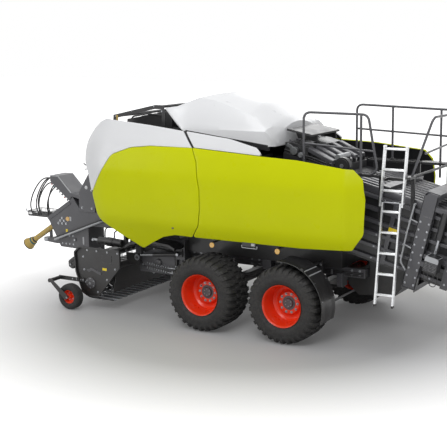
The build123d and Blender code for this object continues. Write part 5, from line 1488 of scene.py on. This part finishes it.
FENDER_IN, FENDER_OUT = 0.6135, 0.6268


def make_knuckle(name, side):
    """Steering knuckle with its arm, and the fender on its struts behind the wheel."""
    x, z, form = -AXLE_X, TYRE_R, Form("black", "zinc", "light", "steel")
    form.side = side
    for flip in (1, -1):
        yoke = (x - 0.075, 0.73, x + 0.075, 0.73, x + 0.075, 0.925, x - 0.075, 0.925)
        form.prism(soft_outline(yoke, (0.05, 0.05, 0.006, 0.006)), z + flip * 0.08, z + flip * 0.108, None, "z")
        cap = (0, 0.05, 0.6, 0.05, 1, 0.03, 1, 0)
        form.lathe(cap, (x, KING_Y, z + flip * 0.107), (x, KING_Y, z + flip * 0.112), 28, "zinc")
    form.rod((x, KING_Y, 0.428), (x, KING_Y, 0.648), 0.0275, 24, "steel")
    back = (x - 0.075, 0.426, x + 0.075, 0.426, x + 0.075, 0.65, x - 0.075, 0.65)
    form.prism(soft_outline(back, 0.03, 5), 0.882, 0.925)
    spindle = (0, 0, 0, 0.07, 0.25, 0.06, 0.4, 0.045, 0.5, 0.0318, 1, 0.0318, 1, 0)
    form.hub(x, z, 0.924, 1.13, spindle, 32, "steel")
    for dx, dz in around(6, 0.058, 0.5):
        form.bolt((x + dx, 0.925, z + dz), 0.008, 0.006)
    low, pin = z - STEER_DROP, x - STEER_BACK
    arm = (x - 0.262, 0.772, x - 0.06, 0.772, x - 0.06, 0.828, x - 0.262, 0.828)
    form.prism(soft_outline(arm, (0.027, 0.004, 0.004, 0.027)), low - 0.022, low + 0.008, None, "z")
    form.rod((pin, KING_Y, low - 0.06), (pin, KING_Y, low + 0.01), 0.0138, 16, "steel")
    form.rod((pin, KING_Y, low - 0.06), (pin, KING_Y, low - 0.04), 0.022, 6, "zinc")
    # Bracket, post and tube that carry the fender
    form.box(x - 0.34, x + 0.04, 0.842, 0.87, 0.62, 0.648)
    form.box(x - 0.338, x - 0.302, 0.842, 0.87, 0.62, 1.096)
    form.prism((x - 0.3, 0.648, x - 0.22, 0.648, x - 0.3, 0.76), 0.85, 0.862)
    form.axle(x - 0.32, 1.083, 0.85, 1.438, 0.0195, 20)
    for dx, bolt_z in ((0.01, 0.634), (-0.1, 0.634), (-0.32, 0.7), (-0.32, 1.04)):
        form.bolt((x + dx, 0.871, bolt_z), 0.01, 0)
    # Fender: rolled sheet with a bead and a turned-down edge on both sides
    inner, outer = FENDER_IN, FENDER_OUT
    section = (
        (1.042, inner), (1.04, inner + 0.012), (1.05, outer), (1.1, outer - 0.002), (1.13, outer - 0.008),
        (1.16, outer - 0.002), (1.32, outer - 0.002), (1.35, outer - 0.008), (1.38, outer - 0.002), (1.43, outer),
        (1.44, inner + 0.012), (1.438, inner), (1.425, inner + 0.001), (1.055, inner + 0.001),
    )
    turns = [math.radians(84 + 112 * k / 56) for k in range(57)]
    form.loft([[(x + r * math.cos(t), y, z + r * math.sin(t)) for y, r in section] for t in turns])
    for turn in (math.radians(t) for t in (118, 143, 168)):
        c, s = math.cos(turn), math.sin(turn)
        for y in (1.075, 1.405):
            form.bolt((x + 0.622 * c, y, z + 0.622 * s), 0.01, 0.001, (c, 0, s))
    for turn in (123, 131):
        a, b = math.radians(turn), math.radians(turn + 1.4)
        corners = ((outer - 0.001, a), (outer + 0.0005, a), (outer + 0.0005, b), (outer - 0.001, b))
        form.prism([(x + r * math.cos(t), z + r * math.sin(t)) for r, t in corners], 1.06, 1.42, "light")
    form.make(f"knuckle_fender_{name}", f"steer_knuckle_{name}", 0.0015, body=f"knuckle_{name}")


make_bands()
make_reel()
make_pickup_frame()
make_roller()
make_axles()
for side_name, side in SIDES:
    make_knuckle(side_name, side)

# Roof, flywheel, black strip painted as shade under the hood, and the dark parts under the doors ---------
FLY_X, FLY_W, FLY_Z = 2.655, 0.205, 1.74
LID = (0, 0, 0, 0.055, 0.9, 0.055, 1, 0.045, 1, 0)


def make_gap_shade_strip_and_roof_lines():
    """Black strip between hood and doors as painted shade of the gap there, and the roof's strap, hoses and mesh."""
    form = Form("black", "zinc", "yellow", "grey")
    # A thin black plate along the hood's lower edge on each side: painted shade of the gap between hood and doors.
    edge = [(x, 2.62 + (x + 0.225) * 0.16 / 1.415) for x in (1.15, 0.7, 0.25, -0.2)]
    seal = [(x, z - 0.048) for x, z in edge] + [(x, z + 0.03) for x, z in edge[::-1]]
    for _ in form.sides():
        form.prism(seal, 0.9485, 0.9535)
        form.box(2.455, 2.49, 0.796, 0.803, 2.86, 2.96, "yellow")
        for x, z in ((1.66, 3.04), (1.8, 3.105), (2.2, 3.03), (2.5, 2.94), (2.53, 2.8), (1.63, 2.8)):
            form.bolt((x, 0.8, z), 0.008, 0.004)
    for k, y in enumerate(steps(-0.55, 0.21, 6)):
        top = 2.875 + 0.02 * (k % 3)
        form.pipe((
            2.46, y, 2.768, 2.42, y, top, 2.1, y + 0.05, top + 0.06, 1.8, y + 0.02, top + 0.03, 1.74, y, 2.768,
        ), 0.013, 10, None, 0.09)
    for y in (-0.36, 0.16, 0.42):
        form.lathe(LID, (2.05, y, 2.768), (2.05, y, 2.9), 24)
        form.rod((2.05, y, 2.9), (2.05, y, 2.925), 0.02, 16, "zinc")
    form.make("roof_lines_and_gap_shade_strip", None, 0.0015)


def make_flywheel():
    """Flywheel: a heavy rim round a bolted web, with its hub."""
    wheel = Form("black", "zinc", "steel")
    profile = points((
        2.655, 0, 2.655, 0.118, 2.79, 0.12, 2.79, 0.298, 2.7, 0.3, 2.7, 0.388, 2.708, 0.3975, 2.822, 0.3975,
        2.83, 0.388, 2.83, 0.33, 2.824, 0.322, 2.824, 0.18, 2.83, 0.172, 2.83, 0.12, 2.86, 0.116, 2.86, 0,
    ), 2)
    shares = [((x - FLY_X) / FLY_W, r) for x, r in profile]
    wheel.lathe(shares, (FLY_X, 0, FLY_Z), (FLY_X + FLY_W, 0, FLY_Z), 96)
    for y, z in around(8, 0.148):
        wheel.bolt((2.83, y, FLY_Z + z), 0.012, 0.008, (1, 0, 0))
    for y, z in around(24, 0.36, 0.5):
        wheel.rod((2.8295, y, FLY_Z + z), (2.8315, y, FLY_Z + z), 0.011, 14, "steel")
    wheel.make("flywheel_disc", "flywheel", 0, 30, "flywheel")


def make_chute():
    """Rear chute: channel-section rails with capped rollers."""
    form = Form("black", "steel", "zinc", place=turned(CHUTE_X, 0, CHUTE_Z, -math.radians(20)))
    stations = steps(-0.13, -0.165, 6)
    rail = soft_outline((-1.03, -0.035, 0.02, -0.035, 0.02, 0.035, -1.03, 0.035), 0.012, 4)
    for _ in form.sides():
        form.prism(rail, 0.572, 0.5795)
        for w in (-0.0345, 0.0275):
            form.prism((-1.025, w, 0.015, w, 0.015, w + 0.007, -1.025, w + 0.007), 0.541, 0.575)
        form.hub(0, 0, 0.541, 0.5795, (0, 0.0165, 0, 0.032, 1, 0.032, 1, 0.0165, 0, 0.0165), 24)
        for u in stations:
            form.axle(u, 0.008, 0.5785, 0.5798, 0.018, 6, "zinc")
    for u in stations:
        roller = (0, 0, 0, 0.022, 0.01, 0.0315, 0.99, 0.0315, 1, 0.022, 1, 0)
        form.hub(u, 0.02, -0.555, 0.555, roller, 32, "steel")
        form.axle(u, 0.02, -0.572, 0.572, 0.01, 12, "steel")
    form.make("bale_chute", "chute", 0.001, body="chute")


def make_under():
    """Curved guards, chain case, springs and lines between the doors, the pick-up and the axles."""
    form = Form("black", "zinc", "grey", "steel")
    guard = points((2.26, 1.005, 2.16, 1.075, 1.98, 1.118, 1.72, 1.128, 1.46, 1.105, 1.36, 1.06), 2)
    case = soft_outline((1.52, 0.6, 2.18, 0.66, 2.2, 0.86, 1.95, 0.96, 1.52, 0.92), 0.09)
    for side in form.sides():
        form.prism(guard + [(x, z - 0.035) for x, z in guard[::-1]], 0.742, 1)
        y = 0.985
        form.pipe((2.25, y, 1.01, 2.16, y, 1.06, 1.72, y, 1.1, 1.4, y, 1.06), 0.014, 12, None, 0.1)
        # Chain case on the intake's side, with its cover bolts
        form.prism(case, 0.661, 0.7)
        form.prism([(1.86 + (x - 1.86) * 0.9, 0.78 + (z - 0.78) * 0.88) for x, z in case], 0.699, 0.708, "grey")
        for x, z in case[::5]:
            form.bolt((1.86 + (x - 1.86) * 0.93, 0.702, 0.78 + (z - 0.78) * 0.92), 0.009, 0.005)
        form.hub(1.85, 0.74, 0.706, 0.738, (0, 0, 0, 0.06, 0.6, 0.06, 1, 0.045, 1, 0), 28, "grey")
        # Pull springs and lift cylinder of the pick-up
        for z in (0.62, 0.69):
            coil = spring((1.62, side * 0.775, z), (0.006, 0, 0.0006), 0.022, 0.9, 70)
            form.pipe([(x, side * y, z) for x, y, z in coil], 0.0045, 6, "steel")
            form.rod((1.5, 0.775, z), (1.63, 0.775, z + 0.001), 0.009, 10, "zinc")
        form.rod((1.42, 0.82, 0.93), (1.86, 0.82, 0.88), 0.03, 24)
        form.rod((1.86, 0.82, 0.88), (2.1, 0.82, 0.853), 0.016, 18, "steel")
        form.axle(1.42, 0.93, 0.742, 0.85, 0.022, 18, "zinc")
        form.box(1.38, 1.48, 0.738, 0.76, 0.88, 1)
        form.pipe((
            1.46, 0.83, 0.96, 1.52, 0.86, 1.03, 1.8, 0.87, 1.02, 2.1, 0.8, 0.98,
        ), 0.009, 8, None, 0.06)
        # Bolts, plates and lines along the frame rail
        for x in (-1.42, -1.3, -0.3, -0.18, 0.18, 0.3, 1.18, 1.3):
            for z in (0.862, 0.928):
                form.bolt((x, 0.55, z), 0.012, 0.008)
        for down in (0.0, 0.022, 0.044):
            line = ((-1.48, 0.9), (-0.6, 0.905), (0.5, 0.898), (1.34, 0.903))
            form.pipe([(x, 0.562, z - down) for x, z in line], 0.007, 8)
        for x in (-1, -0.45, 0.6, 0.95):
            form.box(x - 0.012, x + 0.012, 0.549, 0.574, 0.845, 0.912, "zinc")
    # Gearbox: ribs, flanged covers and breather on the block in front of the press
    for x in (1.6, 1.8, 2, 2.18):
        form.box(x - 0.008, x + 0.008, -0.338, 0.338, 1.33, 2.1, "grey")
    for _ in form.sides():
        form.hub(1.9, 1.72, 0.329, 0.385, (0, 0, 0, 0.19, 0.4, 0.19, 0.5, 0.12, 1, 0.11, 1, 0), 40, "grey")
        for dx, dz in around(10, 0.165):
            form.bolt((1.9 + dx, 0.352, 1.72 + dz), 0.012, 0.008)
    flange = (0, 0.16, 0, 0.215, 0.5, 0.215, 1, 0.175, 1, 0.16)
    form.lathe(flange, (2.298, 0, FLY_Z), (2.36, 0, FLY_Z), 40, "grey")
    for y, z in around(12, 0.196):
        form.bolt((2.329, y, FLY_Z + z), 0.011, 0.007, (1, 0, 0))
    form.make("drives_and_lines", None, 0.0012)
    # Line bundle from the console's column into the shield
    lines = Form("hose", "zinc")
    for k, y in enumerate(steps(-0.12, 0.06, 5)):
        drop = 0.03 * (k % 2)
        lines.pipe((
            3.45, y, 1.42 + drop, 3.3, y, 1.5 - drop, 2.98, y * 1.3, 1.44 - drop, 2.7, y * 2.2, 1.335 + drop,
            2.42, y * 2.4, 1.33,
        ), 0.012, 10, None, 0.12)
    lines.box(2.98, 3.01, -0.17, 0.17, 1.4, 1.412, "zinc")
    lines.make("console_lines", None, 0, 40)


def make_front_parts():
    """Drum with its brackets ahead of the shield, valve block and hoses behind the drawbar."""
    form = Form("black", "zinc", "grey", "steel")
    drum = (
        0, 0, 0, 0.05, 0.03, 0.062, 0.35, 0.062, 0.37, 0.07, 0.63, 0.07, 0.65, 0.062, 0.97, 0.062, 1, 0.05, 1, 0,
    )
    y = 0.8
    for _ in form.sides():
        form.lathe(drum, (2.44, y, 0.992), (2.9, y, 1.004), 32)
        form.rod((2.89, y, 1.004), (3.02, y, 1.007), 0.022, 18, "steel")
        form.axle(3, 1.007, 0.77, 0.83, 0.02, 14, "zinc")
        form.prism((2.352, 0.93, 2.46, 0.95, 2.46, 1.04, 2.352, 1.075), 0.775, 0.79)
        for x in (2.6, 2.78):
            form.rod((x, y, 1.05), (x, y, 1.082), 0.012, 8, "zinc")
        form.pipe((
            2.6, y, 1.075, 2.6, y, 1.16, 2.46, 0.72, 1.24, 2.4, 0.66, 1.3,
        ), 0.011, 10, None, 0.06)
        form.pipe((
            2.78, y, 1.075, 2.78, 0.79, 1.2, 2.52, 0.66, 1.3, 2.4, 0.58, 1.36,
        ), 0.011, 10, None, 0.08)
        block = soft_outline((2.39, 1.12, 2.5, 1.12, 2.52, 1.4, 2.39, 1.46), (0.01, 0.02, 0.02, 0.01), 4)
        form.prism(block, 0.5, 0.66)
        for z in steps(1.17, 0.065, 4):
            form.rod((2.51, 0.58, z), (2.55, 0.58, z), 0.019, 6, "zinc")
            form.rod((2.545, 0.58, z), (2.585, 0.58, z), 0.014, 12)
        form.pipe((
            2.575, 0.58, 1.17, 2.72, 0.56, 1.16, 2.8, 0.46, 1.24, 2.6, 0.4, 1.34,
        ), 0.012, 10, None, 0.06)
        form.pipe((
            2.575, 0.58, 1.235, 2.68, 0.6, 1.27, 2.66, 0.62, 1.5, 2.45, 0.6, 1.72,
        ), 0.012, 10, None, 0.08)
    form.make("front_valves_and_drums", None, 0.001)


make_gap_shade_strip_and_roof_lines()
make_flywheel()
make_chute()
make_under()
make_front_parts()

# Finish of every solid that stays
for row in frame["record"]["subparts"]:
    if row["node"] not in HOSES:
        dress(row["node"], FINISH_OF[row["material_slot"]])
